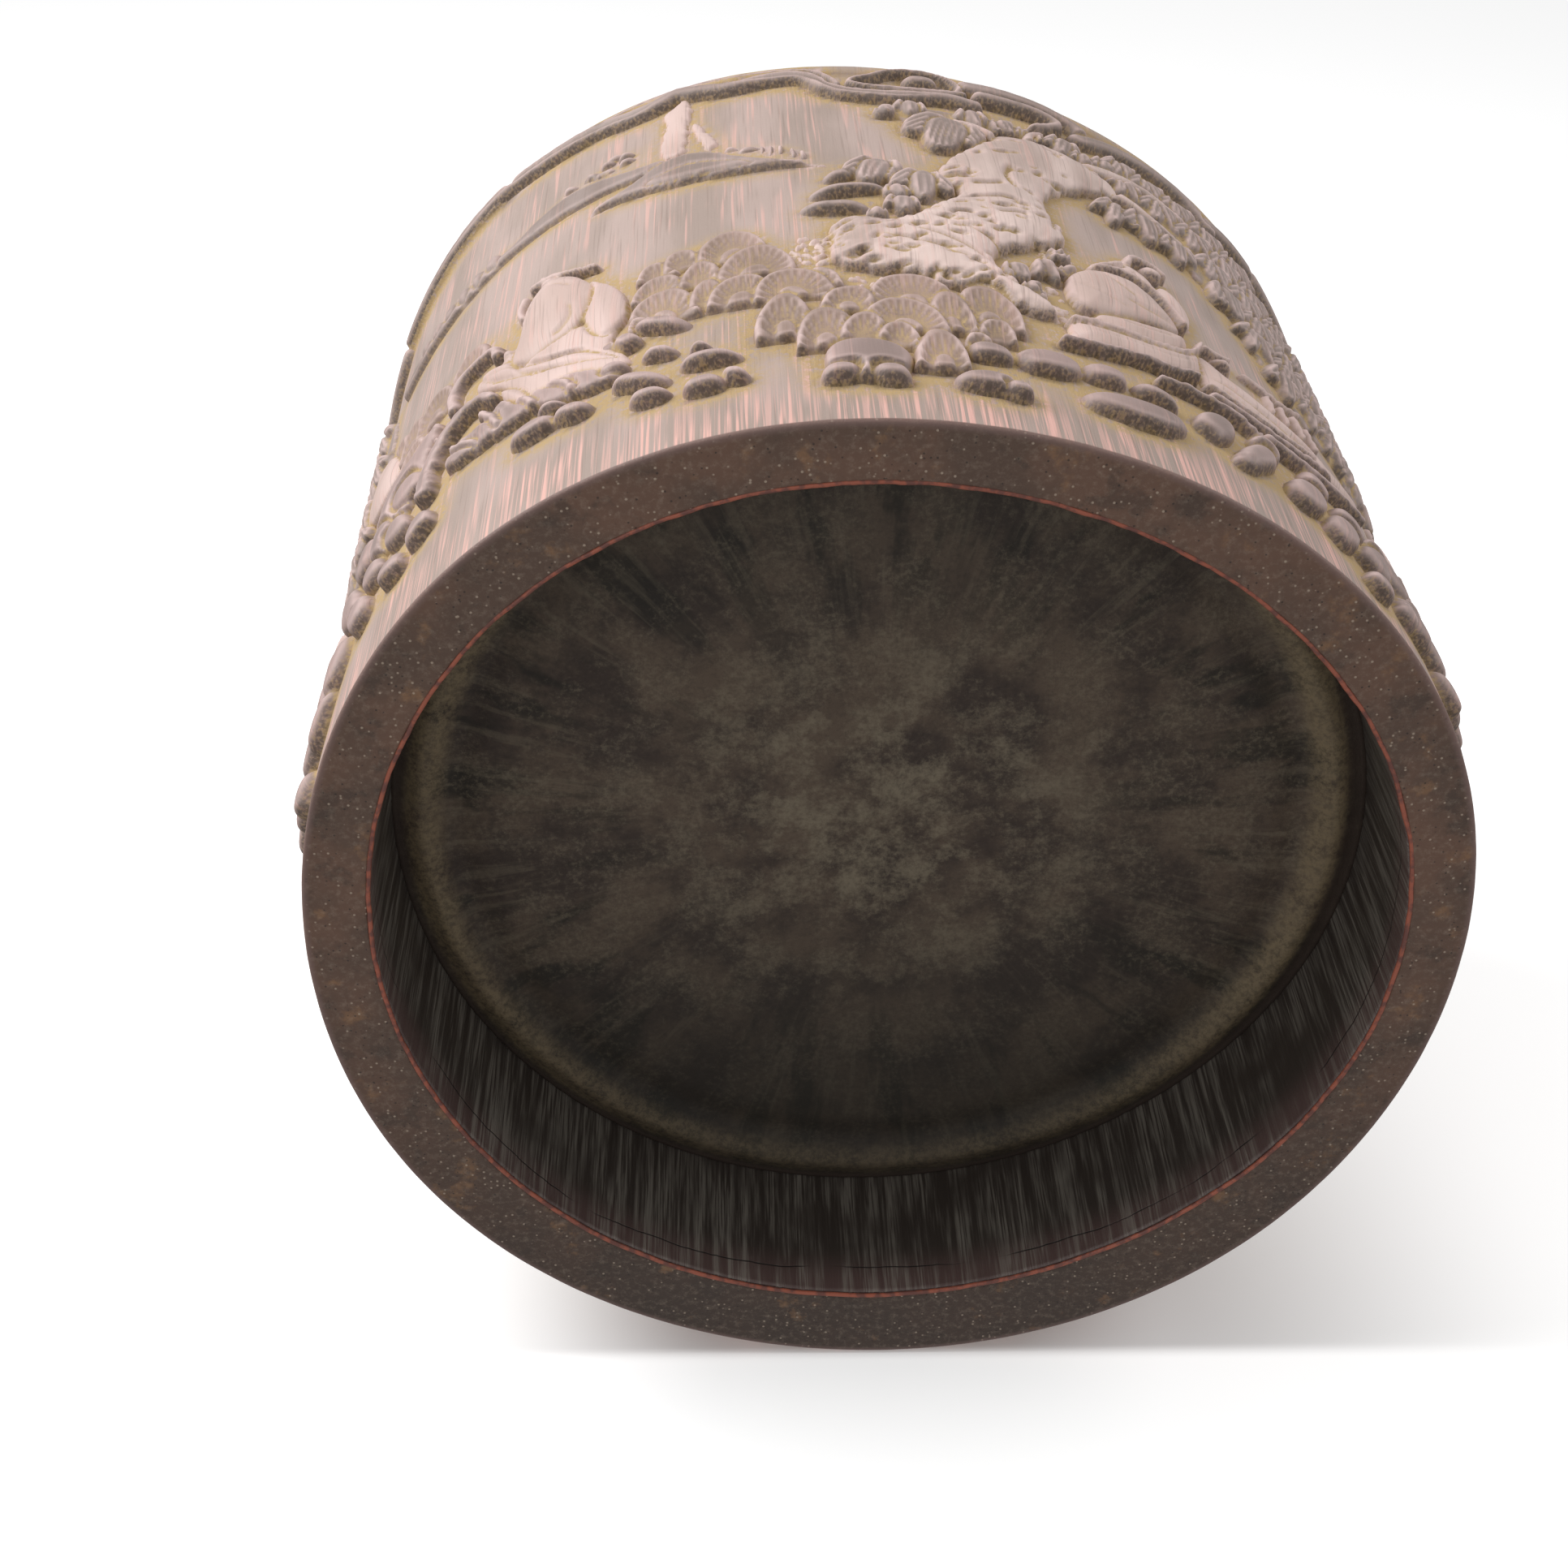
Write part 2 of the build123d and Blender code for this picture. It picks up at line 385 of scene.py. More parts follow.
def carveFans():
    high, low = fans["rise"]
    for stone in fans["stones"]:
        fanStone("fans", *stone, low + (high - low) * (stone[1] - 20) / 38)


pine = {
    "rise": 2.6,
    "outline": (
        (15, 90), (20, 91), (25, 89.2), (28.4, 85.4), (27.4, 82.4), (23.8, 79), (20.4, 75), (18.2, 70.6),
        (18, 65), (19, 60), (18.4, 55.4), (14.8, 51.6), (11.4, 47.8), (10.4, 43.6), (12.8, 37.6),
        (15.8, 31.4), (11.4, 31.6), (6.4, 34.4), (1, 37), (-3.4, 38.4), (-5.8, 42), (-5.2, 46.5),
        (-5.4, 50.8), (-3, 53.2), (0, 52.2), (2.6, 54.8), (5.4, 59.4), (8.2, 64.6), (6.4, 69.4),
        (7.4, 75.4), (10.2, 81.6), (13, 87)),
    "barkCount": 120,
    "barkSize": (0.95, 0.36),
    "barkDepth": 1.0,
    "barkBearings": (-6, 28),
    "barkLow": 36,
    "barkSpan": 55,
    "cracks": (
        ((2, 48.6), (7, 44.8), (10.6, 40.4), (13.8, 34)),
        ((-1, 45.6), (4.4, 43), (8.6, 39.6), (12.2, 35)), ((4.4, 53.4), (9.2, 49.6), (11.8, 47)),
        ((8, 60.8), (10.4, 62.2), (13, 63.4), (14.6, 62.2)), ((9.4, 66.8), (11.6, 67.4), (13, 68.6)),
        ((17.6, 66), (18, 62), (17.4, 57)), ((11.2, 57.4), (13.4, 58.8), (14.8, 58.6)),
        ((6.4, 54.6), (7.6, 55.6), (9, 55)), ((19, 87.4), (20.6, 86.6), (20.4, 84.8)),
        ((14.4, 76), (13.6, 72), (14.4, 67.6))),
    "crackSize": (0.4, 1.0),
    "branches": (
        (((27, 83.6), (30, 83), (33, 80.5), (36, 79)), (1.5, 0.6), 1.9),
        (((24, 88), (28, 91), (33, 92.5), (39, 91)), (1.8, 0.6), 2.0),
        (((14, 88), (11.6, 90.6), (9.4, 91.6)), (1.2, 0.5), 2.0),
        (((18, 90), (18.5, 94), (20.4, 97)), (1.2, 0.5), 1.8)),
    "moss": (
        (-7, 45.4, 2.6, 4.4, 46), (-2.4, 35.4, 1.6, 1.6, 12), (15.6, 36.4, 1.6, 5.4, 34),
        (17.2, 51.4, 2, 1.4, 10)),
}


def carvePine():
    for bearing, level, reachX, reachZ, count in pine["moss"]:
        pebbles("trunk", bearing, level, reachX, reachZ, count, 1.1)
    for points, widths, rise in pine["branches"]:
        strand("trunk", points, widths, rise)
    form("trunk", pine["outline"], pine["rise"], 0.12, 0.1, rounding=4.4, ragged=0.12, cliff=0.3)
    for points in pine["cracks"]:
        groove("trunk", points, *pine["crackSize"])
    random = np.random.default_rng(grid["seed"])
    path = smoothPath(pine["outline"], closed=True)
    made = 0
    while made < pine["barkCount"]:
        bearing = random.uniform(*pine["barkBearings"])
        level = pine["barkLow"] + pine["barkSpan"] * random.uniform(0, 1) ** 1.8  # fewest on the crown
        slope, size = random.normal(16, 24), random.uniform(0.6, 1.3)
        if not insideOf(np.array([[bearing]]), np.array([[level]]), path)[0, 0]:
            continue
        made += 1
        spot, dx, dz = patch(bearing, level, 3, 2.5)
        x, z = turned(dx, dz, slope)
        u, v = x / pine["barkSize"][0] / size, z / pine["barkSize"][1] / size
        scoop = np.clip((v + 1.6) / 2.6, 0, 1) * (v < 1) * np.exp(-(u**2) * 1.2)
        lip = np.exp(-(u**2) - (v - 1.8) ** 2)
        carveIn("trunk", spot, pine["barkDepth"] * size * scoop - 0.1 * lip)


banks = {
    "bodies": (
        (((-46, 26.6), (-44.6, 24.4), (-41, 23.2), (-37, 22.6), (-34.6, 23), (-32, 21.2), (-28.4, 20),
          (-25.8, 21), (-25.4, 24), (-29, 27.4), (-33, 30.4), (-37, 32.4), (-41, 29), (-44, 29.4)), 1.9),
        (((-48.4, 44), (-49.8, 36), (-51.6, 30), (-54, 27), (-58, 29), (-60, 37), (-57, 43), (-52, 43)),
         1.7)),
    "blocks": (  # bearing, level, half width, half height, tilt
        (-57.6, 31, 2.8, 6, 26), (-62, 35, 3, 7, 24), (-53.6, 25.4, 2.6, 4.4, 28), (-64, 27, 3, 7, 22),
        (-53, 34, 3, 4.4, 24), (-58, 23, 2.6, 4.4, 26), (-67, 19, 3, 6, 20), (-23.6, 33, 2.3, 0.9, -18),
        (-22, 30.7, 4, 1.6, -32), (-25.3, 28.9, 1.7, 2.1, 22), (-27.6, 30, 1.4, 1.5, 20),
        (-22.3, 22.6, 2.3, 1.2, -8), (-18.2, 21.4, 1.7, 0.8, -8), (-26.4, 22.6, 1.7, 1.8, 10),
        (7.6, 17.6, 2.7, 2.1, 0), (13.2, 18.2, 4, 2.9, 4), (18.6, 18.2, 3.1, 2.2, 4),
        (23.8, 17.5, 3, 1.6, -8), (30.2, 17.4, 2.6, 4, -30), (36.6, 19.4, 2.2, 2.6, -30),
        (47.8, 19, 2.8, 3.4, -32), (53, 19.4, 2.8, 3.8, -30), (43, 20.4, 2.4, 2.6, -34)),
    "ledges": (
        (((-48.6, 24.6), (-48.4, 29.6), (-46.6, 34.2), (-44, 36.4), (-41.2, 35.6), (-39.8, 33.4)),
         (1.7, 1.1), 2.5),
        (((-44.6, 28), (-42.8, 26.4), (-41.4, 24.6)), (0.9, 0.8), 2.3),
        (((-41, 31), (-39.4, 27.4), (-38.6, 24.6)), (0.9, 0.9), 2.3),
        (((-36.4, 27.6), (-35, 25), (-34.6, 23.6)), (0.9, 0.8), 2.3),
        (((-32.8, 26.4), (-31, 24), (-30.4, 21.8)), (0.9, 0.9), 2.3),
        (((-46.2, 41.8), (-46.6, 46), (-45.6, 48.6), (-43, 49.2), (-41, 48.8), (-40.4, 46.4)), (1.1, 1.0),
         2.1),
        (((15.4, 24.4), (18, 25), (22, 26.2), (26, 27), (29.8, 28.8)), (0.8, 0.7), 2.4),
        (((25, 22.8), (29, 23.4), (33, 23), (36, 21.8)), (0.8, 0.7), 2.2),
        (((31, 25.2), (36, 24.4), (41, 25), (46, 28), (52, 30.6)), (1.0, 0.8), 2.3),
        (((37, 22.4), (41, 22.6), (46, 24), (52, 26.4)), (1.0, 0.9), 2.2)),
}


def carveBanks():
    for points, rise in banks["bodies"]:
        form("banks", points, rise, 0.1, rounding=1.6, ragged=0.12)
    for bearing, level, halfWidth, halfHeight, tilt in banks["blocks"]:
        boulder("banks", bearing, level, halfWidth, halfHeight, tilt, 2.3, 2.7)
    for points, widths, rise in banks["ledges"]:
        strand("banks", points, widths, rise, ragged=0.1)


figures = {
    "robes": (  # outline, rise, how much higher its foot is than its top
        (((-37.4, 46), (-35, 43), (-30, 40), (-26, 37), (-27, 31), (-25.4, 26.6), (-25, 24),
          (-27.4, 23.4), (-31, 26), (-34.4, 26.4), (-37, 27.8), (-37.8, 32), (-39.8, 37), (-43, 41.2),
          (-43, 43.8), (-40, 44)), 1.5, 0),
        (((-30.4, 52.4), (-28, 49.4), (-26.2, 45), (-25.4, 40), (-25.8, 35.4), (-27.6, 33.2),
          (-29.2, 35.6), (-30, 40), (-30.6, 46)), 2.3, -0.1),
        (((-42.6, 43.6), (-40.6, 43.8), (-38, 41.4), (-36.4, 37.4), (-33.6, 34.6), (-30.4, 32.6),
          (-28, 29.4), (-25.8, 25.6), (-28.2, 27.2), (-31.4, 30), (-34.6, 32), (-37, 35), (-40.4, 39.2)),
         2.1, 0),
        (((-39.4, 34.8), (-37.6, 33.4), (-36, 30), (-35.4, 27), (-37, 28), (-38.8, 31.4)), 2.2, 0),
        (((-37.8, 46), (-37.4, 51.4), (-36.2, 55), (-34.2, 57), (-32, 56), (-30, 52.4), (-28.9, 48),
          (-29.1, 43.6), (-30.8, 40), (-33.4, 38), (-36.4, 37.6), (-38.4, 40.6)), 2.7, -0.3),
        (((-68, 56), (-65.6, 64), (-62.4, 63), (-59.4, 57), (-57.6, 50.4), (-59.4, 46.6), (-64, 48)), 1.6,
         0.1),
        (((29.6, 55.4), (31.6, 54), (32.6, 50.4), (32, 46), (30.6, 46), (29.4, 49.4), (28.6, 52.6)), 1.9,
         0),
        (((23.8, 56.6), (26.6, 57.4), (28.8, 54.6), (28, 51.4), (25.4, 51.6), (23.6, 53.6)), 1.9, 0.1),
        (((15.6, 25), (19, 25.6), (23, 26.8), (27, 27.8), (30.4, 30.4), (32.4, 35), (31.4, 38),
          (28, 34.6), (24, 32.6), (20, 32), (16.8, 31), (16.4, 28)), 2.2, 0.1),
        (((17.6, 38.4), (17.4, 43), (18.6, 46.6), (21.4, 49.2), (25, 49.6), (27.6, 47), (29.4, 43),
          (29.6, 40.4), (26, 38.8), (22.4, 37), (19, 36)), 2.8, -0.15),
        (((19.6, 35.4), (22.4, 37.4), (26, 38.6), (29.8, 40), (30.2, 37), (28, 34), (24.8, 32.4),
          (21, 32.4)), 2.3, -0.1),
        (((31.2, 37.6), (34.6, 35.6), (39, 34.4), (44, 33.4), (50, 32.4), (54, 32.8), (52, 29.4),
          (46, 28.2), (41, 27.4), (36, 27), (31.6, 28), (30.6, 32.4)), 2.0, 0.1)),
    "folds": (  # path, width, depth
        (((-37, 48), (-36, 51.8), (-34.4, 53.8), (-32.6, 53), (-31, 50.2)), 0.42, 0.55),
        (((-31.4, 46), (-31.2, 43), (-32, 41), (-33.4, 39.8)), 0.36, 0.4),
        (((-41.4, 42.4), (-37.6, 38.8), (-33.4, 34.4), (-28.6, 31.4)), 0.3, 0.5),
        (((-37.8, 40), (-36.6, 35.6), (-33.4, 31.6), (-29, 28)), 0.3, 0.4),
        (((21.2, 48), (22.6, 45.4), (25, 42.6)), 0.34, 0.35),
        (((23, 41.4), (26.4, 41.2), (29.6, 41.4)), 0.3, 0.4),
        (((18.4, 42), (20.6, 40.4), (24, 39.6)), 0.3, 0.25),
        (((22.6, 35.6), (25.4, 36), (28.6, 37.6)), 0.36, 0.6),
        (((18, 28.6), (22, 29.4), (27, 30.6), (30.4, 33.6)), 0.3, 0.3),
        (((31.6, 35), (37, 32.6), (43, 31.4), (49, 30.6)), 0.3, 0.4),
        (((31.4, 31), (36, 29.6), (41, 29.4), (46, 30)), 0.34, 0.6),
        (((32, 29), (37, 28.2), (42, 28.6)), 0.26, 0.4)),
    "cords": (  # brims, hems and sleeves: path, half widths, rise
        (((-37.6, 58), (-38.1, 55.4), (-37.6, 52.6)), (0.9, 0.7), 1.7),
        (((-36.4, 59), (-34.2, 58.9), (-31.6, 57), (-29, 55.6)), (0.9, 0.45), 2.3),
        (((25.8, 57.2), (26.6, 59.8), (28.8, 60.6), (30.6, 59.2)), (0.8, 0.6), 2.2),
        (((24.8, 55.6), (22.6, 52.8), (21, 50.6)), (0.8, 0.6), 2.1),
        (((26, 53), (24, 51.4), (22.4, 50.8)), (0.8, 0.6), 2.2),
        (((21.2, 49.8), (24, 51), (26.6, 50.2), (28.8, 46.8), (30.2, 42.8)), (0.7, 0.8), 2.9),
        (((16.8, 31), (20, 31.8), (24, 32), (28, 33.4), (30.6, 36.6), (32, 40.6)), (0.6, 0.6), 2.7),
        (((30.8, 27.2), (36, 26.2), (41, 27), (45, 29.6)), (0.8, 0.6), 2.5),
        (((32.6, 40.6), (34.8, 41), (36, 42.4)), (0.8, 0.6), 2.0),
        (((38, 41.6), (42, 42), (45.4, 44.2), (48, 47.6)), (0.5, 0.4), 1.6),
        (((41, 40.4), (41.4, 37)), (0.5, 0.5), 1.6), (((43, 40.4), (43.4, 36.8)), (0.5, 0.5), 1.7),
        (((45, 41), (45.6, 36.6)), (0.6, 0.6), 1.8), (((47, 41), (47.6, 36.6)), (0.6, 0.6), 1.8)),
    "heads": (
        (-34.4, 58.2, 2.0, 1.5), (-35.2, 60.2, 1.2, 0.8), (28.7, 58, 1.9, 1.8), (-38.6, 44.2, 1.2, 0.7),
        (34.6, 38.6, 1.8, 0.9)),
}


def carveFigures():
    for points, rise, tip in figures["robes"]:
        form("figures", points, rise, 0.08, tip, rounding=4.2, ragged=0.03, cliff=0.24)
    for points, width, depth in figures["folds"]:
        groove("figures", points, width, depth)
    for bearing, level, halfWidth, halfHeight in figures["heads"]:
        boulder("figures", bearing, level, halfWidth, halfHeight, 0, 2.3, 2)
    for points, widths, rise in figures["cords"]:
        strand("figures", points, widths, rise, ragged=0.03)


footStones = {  # bearing, level, half width, half height, tilt, squareness
    "stones": (
        (-60, 17.4, 2.6, 4.6, 24, 2.5), (-52.8, 14.8, 2.4, 2.9, 14, 2.5), (-49, 17.2, 2.6, 3.2, 22, 2.5),
        (-32.6, 20, 2.2, 1.1, -6, 2.3), (-34.6, 17.3, 3.4, 2, 2, 2.4), (-30.4, 16.3, 2.7, 1.7, -22, 2.4),
        (-23.9, 17.1, 3.6, 1.6, -24, 2.6), (-17.4, 18.2, 3.8, 1.5, -5, 2.8),
        (-15.3, 12.5, 1.9, 1.4, -18, 2.3), (-23.1, 12.5, 2.5, 1.5, -2, 2.3),
        (-18.2, 11.9, 2.6, 1.7, 3, 2.3), (-3.2, 13.4, 5.0, 5.3, -8, 2.1), (-5.8, 9.8, 2.5, 1.7, 8, 2.4),
        (-1.4, 9.2, 2.5, 1.8, -6, 2.6), (7.2, 9.5, 4.1, 2.2, 2, 2.9), (9.6, 8.7, 1.9, 1.7, 4, 2.3),
        (21.2, 11.4, 6.6, 2.9, 3, 2.7), (34.6, 14.8, 2.2, 5.6, -40, 2.7), (49, 6.4, 2.4, 3, -34, 2.5),
        (41, 14.6, 2.8, 4.6, -38, 2.6), (45.4, 12.6, 2.8, 4.8, -38, 2.6),
        (50.6, 13.4, 2.8, 4.8, -36, 2.6), (55.6, 10.6, 2.6, 4.4, -34, 2.6), (58.6, 16, 2.6, 4.6, -30, 2.6)),
    "rise": 2.5,
}


def carveFootStones():
    for bearing, level, halfWidth, halfHeight, tilt, square in footStones["stones"]:
        boulder("boulders", bearing, level, halfWidth, halfHeight, tilt, footStones["rise"], square)


clouds = {
    "bands": (  # path, half widths, rise
        (((-66, 110), (-52, 110), (-45, 109.6), (-42, 108.6), (-37, 107.3), (-31, 106.5), (-26.6, 105.2),
          (-23.6, 105.4), (-21, 107.2), (-18.4, 106.2), (-15, 105), (-11, 105.8), (-7.6, 106),
          (-5.6, 104.2), (-4.4, 101.2), (-1.8, 98.8), (2, 98.4), (6, 99.4), (9.6, 100.4), (12.6, 99.8)),
         (1.9, 1.3), 2.2),
        (((-43, 110.2), (-36, 109.8), (-29, 108.8), (-21, 109.6), (-14, 109), (-6.4, 108.6),
          (-3.8, 105.6), (-2.8, 102.8)), (0.7, 0.6), 1.7),
        (((12, 106.8), (16, 107.6), (21, 107.4), (25, 105.4), (26.4, 102.4)), (1.9, 1.6), 2.2),
        (((13.4, 103.6), (17, 104), (20.6, 104), (22.6, 102.2), (21, 99.4), (19.4, 97.6)), (1.5, 1.1),
         2.5),
        (((25.4, 101), (30, 104.4), (36, 106), (41, 106), (45, 102)), (1.8, 1.6), 1.9),
        (((45, 104), (50, 107), (56, 108)), (1.8, 2.2), 1.9)),
    "scroll": (
        ((11.4, 102.6), (8, 101.4), (3, 100.4), (-0.8, 101.2), (-1.6, 103), (0.6, 105), (3, 107.6),
         (6.6, 108.8), (9.6, 107.8), (11, 105.4), (10.6, 103.4)),
        (0.75, 0.65), 2.3),
    "pebble": (6.6, 105.2, 2.6, 1.8),
    "lines": (
        ((-60, 110.2), (-45, 109.6), (-41.6, 108.2), (-37, 107), (-31, 106), (-26.4, 104.8),
         (-23.4, 105)),
        ((-17, 105.6), (-11, 105.6), (-7.4, 105.6), (-5.4, 103.4), (-3.8, 100.4), (-1.4, 98.6), (3, 98.4),
         (8, 99.8))),
}


def carveClouds():
    for points, widths, rise in clouds["bands"]:
        strand("clouds", points, widths, rise, 1.3, 0.04)
    for points in clouds["lines"]:
        groove("clouds", points, 0.34, 0.6)
    points, widths, rise = clouds["scroll"]
    strand("clouds", points, widths, rise, ragged=0.02)
    boulder("clouds", *clouds["pebble"], 12, 2.3, 2.3)


groups = ((0, 1), (112, -1), (-124, 1))
for base, flip in groups:
    group["base"], group["flip"] = base, flip
    carveMountains()
    carveFoliage()
    carvePine()
    carveFans()
    carveBanks()
    carveFigures()
    carveFootStones()
    carveClouds()
for i, name in enumerate(layerNames):  # what lies in front keeps what lies behind it down
    for front in layerNames[i + 1:]:
        over = layers[front]
        held = layers[name]
        layers[name] = np.where(over > 0, np.minimum(held, np.maximum(0.5 * held, 0.6 * over)), held)
for name in layerNames:
    layers[name] *= grid["relief"]
print("relief drawn", columns, "x", rows)


# Where the relief leaves hollows for dust, steep cuts for dirt and painted shade, and edges that hands have
# polished, with a painted highlight
allRise = np.max([layers[name] for name in layerNames], axis=0)
nearRise = blurred(allRise, 0.45)
wideRise = blurred(allRise, 1.7)
farRise = blurred(allRise, 3.4)
crisp = blurred(allRise, 0.24)
slopeX = (np.roll(crisp, -1, 1) - np.roll(crisp, 1, 1)) / (2 * step)
slopeZ = np.gradient(crisp, step, axis=0)
under = np.clip(slopeZ, 0, 9)  # faces the foot, where the gouge undercuts, dirt stays and shade is painted
hollows = {
    "dust": np.clip((wideRise - allRise) * 1.5 + (nearRise - allRise) * 2.6
                    + (allRise <= 0) * np.clip(0.5 * wideRise + 0.5 * farRise, 0, 1), 0, 1),
    # steep faces, most of all those facing the foot: dirt, and painted shade under the relief
    "cutShadeAndDirt": np.clip(0.65 * under + 0.25 * np.hypot(slopeX, slopeZ) - 0.3, 0, 1),
    # crests not facing the foot: polished wear, and a painted highlight
    "worn": np.clip((allRise - nearRise) / 0.25, 0, 1) * np.clip(1 - under, 0, 1),
}


def markHollows(mesh):
    # Stores those three as attributes, read from the grid at each vertex
    count = len(mesh.vertices)
    places = np.empty(count * 3, np.float32)
    mesh.vertices.foreach_get("co", places)
    x, y, z = places.reshape(-1, 3).T / mm
    radius = np.hypot(x, y)
    column = (np.degrees(np.arctan2(x, -y)) + 180) / 360 * columns
    row = np.clip(z / step, 0, rows - 1.001)
    c, r = np.floor(column).astype(int), np.floor(row).astype(int)
    fc, fr = column - c, row - r
    outside = radius > culm["footRadius"] - 4
    for name, field in hollows.items():
        low = field[r, c % columns] * (1 - fc) + field[r, (c + 1) % columns] * fc
        high = field[r + 1, c % columns] * (1 - fc) + field[r + 1, (c + 1) % columns] * fc
        attribute = mesh.attributes.new(name, "FLOAT", "POINT")
        attribute.data.foreach_set("value", ((low * (1 - fr) + high * fr) * outside).astype(np.float32))


def meshOf(name, places, quads):
    mesh = bpy.data.meshes.new(name)
    mesh.vertices.add(len(places))
    mesh.vertices.foreach_set("co", np.asarray(places, np.float32).ravel())
    mesh.loops.add(len(quads) * 4)
    mesh.loops.foreach_set("vertex_index", np.asarray(quads, np.int32).ravel())
    mesh.polygons.add(len(quads))
    mesh.polygons.foreach_set("loop_start", np.arange(0, len(quads) * 4, 4, dtype=np.int32))
    mesh.update(calc_edges=True)
    return mesh


def finished(piece):
    # Turns a piece and its modifiers into one plain mesh
    bpy.context.view_layer.update()
    evaluated = piece.evaluated_get(bpy.context.evaluated_depsgraph_get())
    mesh = bpy.data.meshes.new_from_object(evaluated)
    mesh.name = piece.name
    piece.modifiers.clear()
    piece.data = mesh
    mesh.polygons.foreach_set("use_smooth", np.ones(len(mesh.polygons), bool))
    return piece


def newPiece(name, mesh):
    piece = bpy.data.objects.new(name, mesh)
    bpy.context.scene.collection.objects.link(piece)
    return piece


def carvedPiece(name, layer):
    # Wraps one layer round the culm as a closed solid, its back and border under the ground
    sunk = blurred(np.where(layers[layer] > 0, layers[layer], -grid["sink"]), grid["soften"])
    standing = sunk > -0.9 * grid["sink"]
    cell = standing[:-1] | standing[1:]
    cell |= np.roll(cell, -1, 1)
    for _ in range(3):  # fills cells that would touch only at a corner
        right, up = np.roll(cell, -1, 1), np.vstack([cell[1:], cell[-1:]])
        upRight = np.roll(up, -1, 1)
        crossed = (cell & upRight & ~right & ~up) | (~cell & ~upRight & right & up)
        cell |= crossed
        cell |= np.roll(crossed, 1, 1)
    r, c = np.nonzero(cell)
    corners = np.stack([r * columns + c, r * columns + (c + 1) % columns,
                        (r + 1) * columns + (c + 1) % columns, (r + 1) * columns + c], 1)
    used, index = np.unique(corners, return_inverse=True)
    front = index.reshape(-1, 4)
    back = front + len(used)
    bearing, level = bearings[used % columns], levels[used // columns]
    ground = groundRadius(bearing, level)
    face = ground + np.maximum(sunk.ravel()[used], -grid["sink"])
    radius = np.concatenate([face, ground - grid["backing"]])
    bearing, level = np.tile(bearing, 2), np.tile(level, 2)
    places = np.stack([radius * np.sin(bearing), -radius * np.cos(bearing), level], 1) * mm
    quads = [front, back[:, ::-1]]
    below = np.vstack([np.zeros((1, columns), bool), cell[:-1]])
    above = np.vstack([cell[1:], np.zeros((1, columns), bool)])
    sides = (below, np.roll(cell, -1, 1), above, np.roll(cell, 1, 1))
    for edge, beside in enumerate(sides):
        bare = ~beside[r, c]
        a, b = front[bare, edge], front[bare, (edge + 1) % 4]
        quads.append(np.stack([b, a, a + len(used), b + len(used)], 1))
    piece = newPiece(name, meshOf(name, places, np.vstack(quads)))
    faces = 2 * len(piece.data.polygons)
    if faces > grid["triangles"]:
        thin = piece.modifiers.new("thin", "DECIMATE")
        thin.ratio = grid["triangles"] / faces
    finished(piece)
    markHollows(piece.data)
    print(name, faces, "->", sum(len(p.vertices) - 2 for p in piece.data.polygons), "triangles")
    return piece


def shownSocket(sockets, name):
    # A socket by number, or the one with that name that the node shows
    if isinstance(name, int):
        return sockets[name]
    return next(socket for socket in sockets if socket.name == name and socket.enabled)


class Wire:
    # One socket of a node tree, whose operators add Math nodes
    def __init__(self, bench, socket):
        self.bench, self.socket = bench, socket

    def __add__(self, other):
        return self.bench.maths("ADD", self, other)

    def __sub__(self, other):
        return self.bench.maths("SUBTRACT", self, other)

    def __rsub__(self, other):
        return self.bench.maths("SUBTRACT", other, self)

    def __mul__(self, other):
        return self.bench.maths("MULTIPLY", self, other)

    def __truediv__(self, other):
        return self.bench.maths("DIVIDE", self, other)

    def __pow__(self, other):
        return self.bench.maths("POWER", self, other)

    __radd__, __rmul__ = __add__, __mul__

    def between(self, low, high):
        # 0 below low, 1 above high, smooth from one to the other
        return self.bench.node("ShaderNodeMapRange", {"interpolation_type": "SMOOTHSTEP"},
                               {"Value": self, "From Min": low, "From Max": high})


class Bench:
    # A node tree with the few calls that this script builds it by
    def __init__(self, tree):
        self.tree = tree

    def node(self, kind, settings=None, values=None, out=0):
        made = self.tree.nodes.new(kind)
        for name, value in (settings or {}).items():
            setattr(made, name, value)
        for name, value in (values or {}).items():
            socket = shownSocket(made.inputs, name)
            if isinstance(value, Wire):
                self.tree.links.new(value.socket, socket)
            else:
                socket.default_value = value
        return Wire(self, shownSocket(made.outputs, out)) if len(made.outputs) else None

    def maths(self, operation, *values):
        return self.node("ShaderNodeMath", {"operation": operation}, dict(enumerate(values)))

    def mix(self, amount, first, second):
        colours = [value if isinstance(value, Wire) else (*value, 1) for value in (first, second)]
        return self.node("ShaderNodeMix", {"data_type": "RGBA"},
                         {0: amount, 6: colours[0], 7: colours[1]}, out=2)

    def noise(self, vector, scale, detail=3.0, roughness=0.5):
        return self.node("ShaderNodeTexNoise", {}, {"Vector": vector, "Scale": scale, "Detail": detail,
                                                    "Roughness": roughness})

    def stretched(self, vector, scale, offset=(0, 0, 0)):
        return self.node("ShaderNodeMapping", {}, {"Vector": vector, "Scale": scale, "Location": offset})

    def attribute(self, name):
        return self.node("ShaderNodeAttribute", {"attribute_name": name}, out="Fac")

    def axes(self, vector):
        return [self.node("ShaderNodeSeparateXYZ", {}, {0: vector}, out=axis) for axis in range(3)]


def wavesOf(bearing, waves):
    # waveSum in nodes
    swell = 0
    for count, size, phase in waves:
        turn = bearing * count - math.radians(phase)
        swell = bearing.bench.maths("COSINE", turn) * size + swell
    return swell


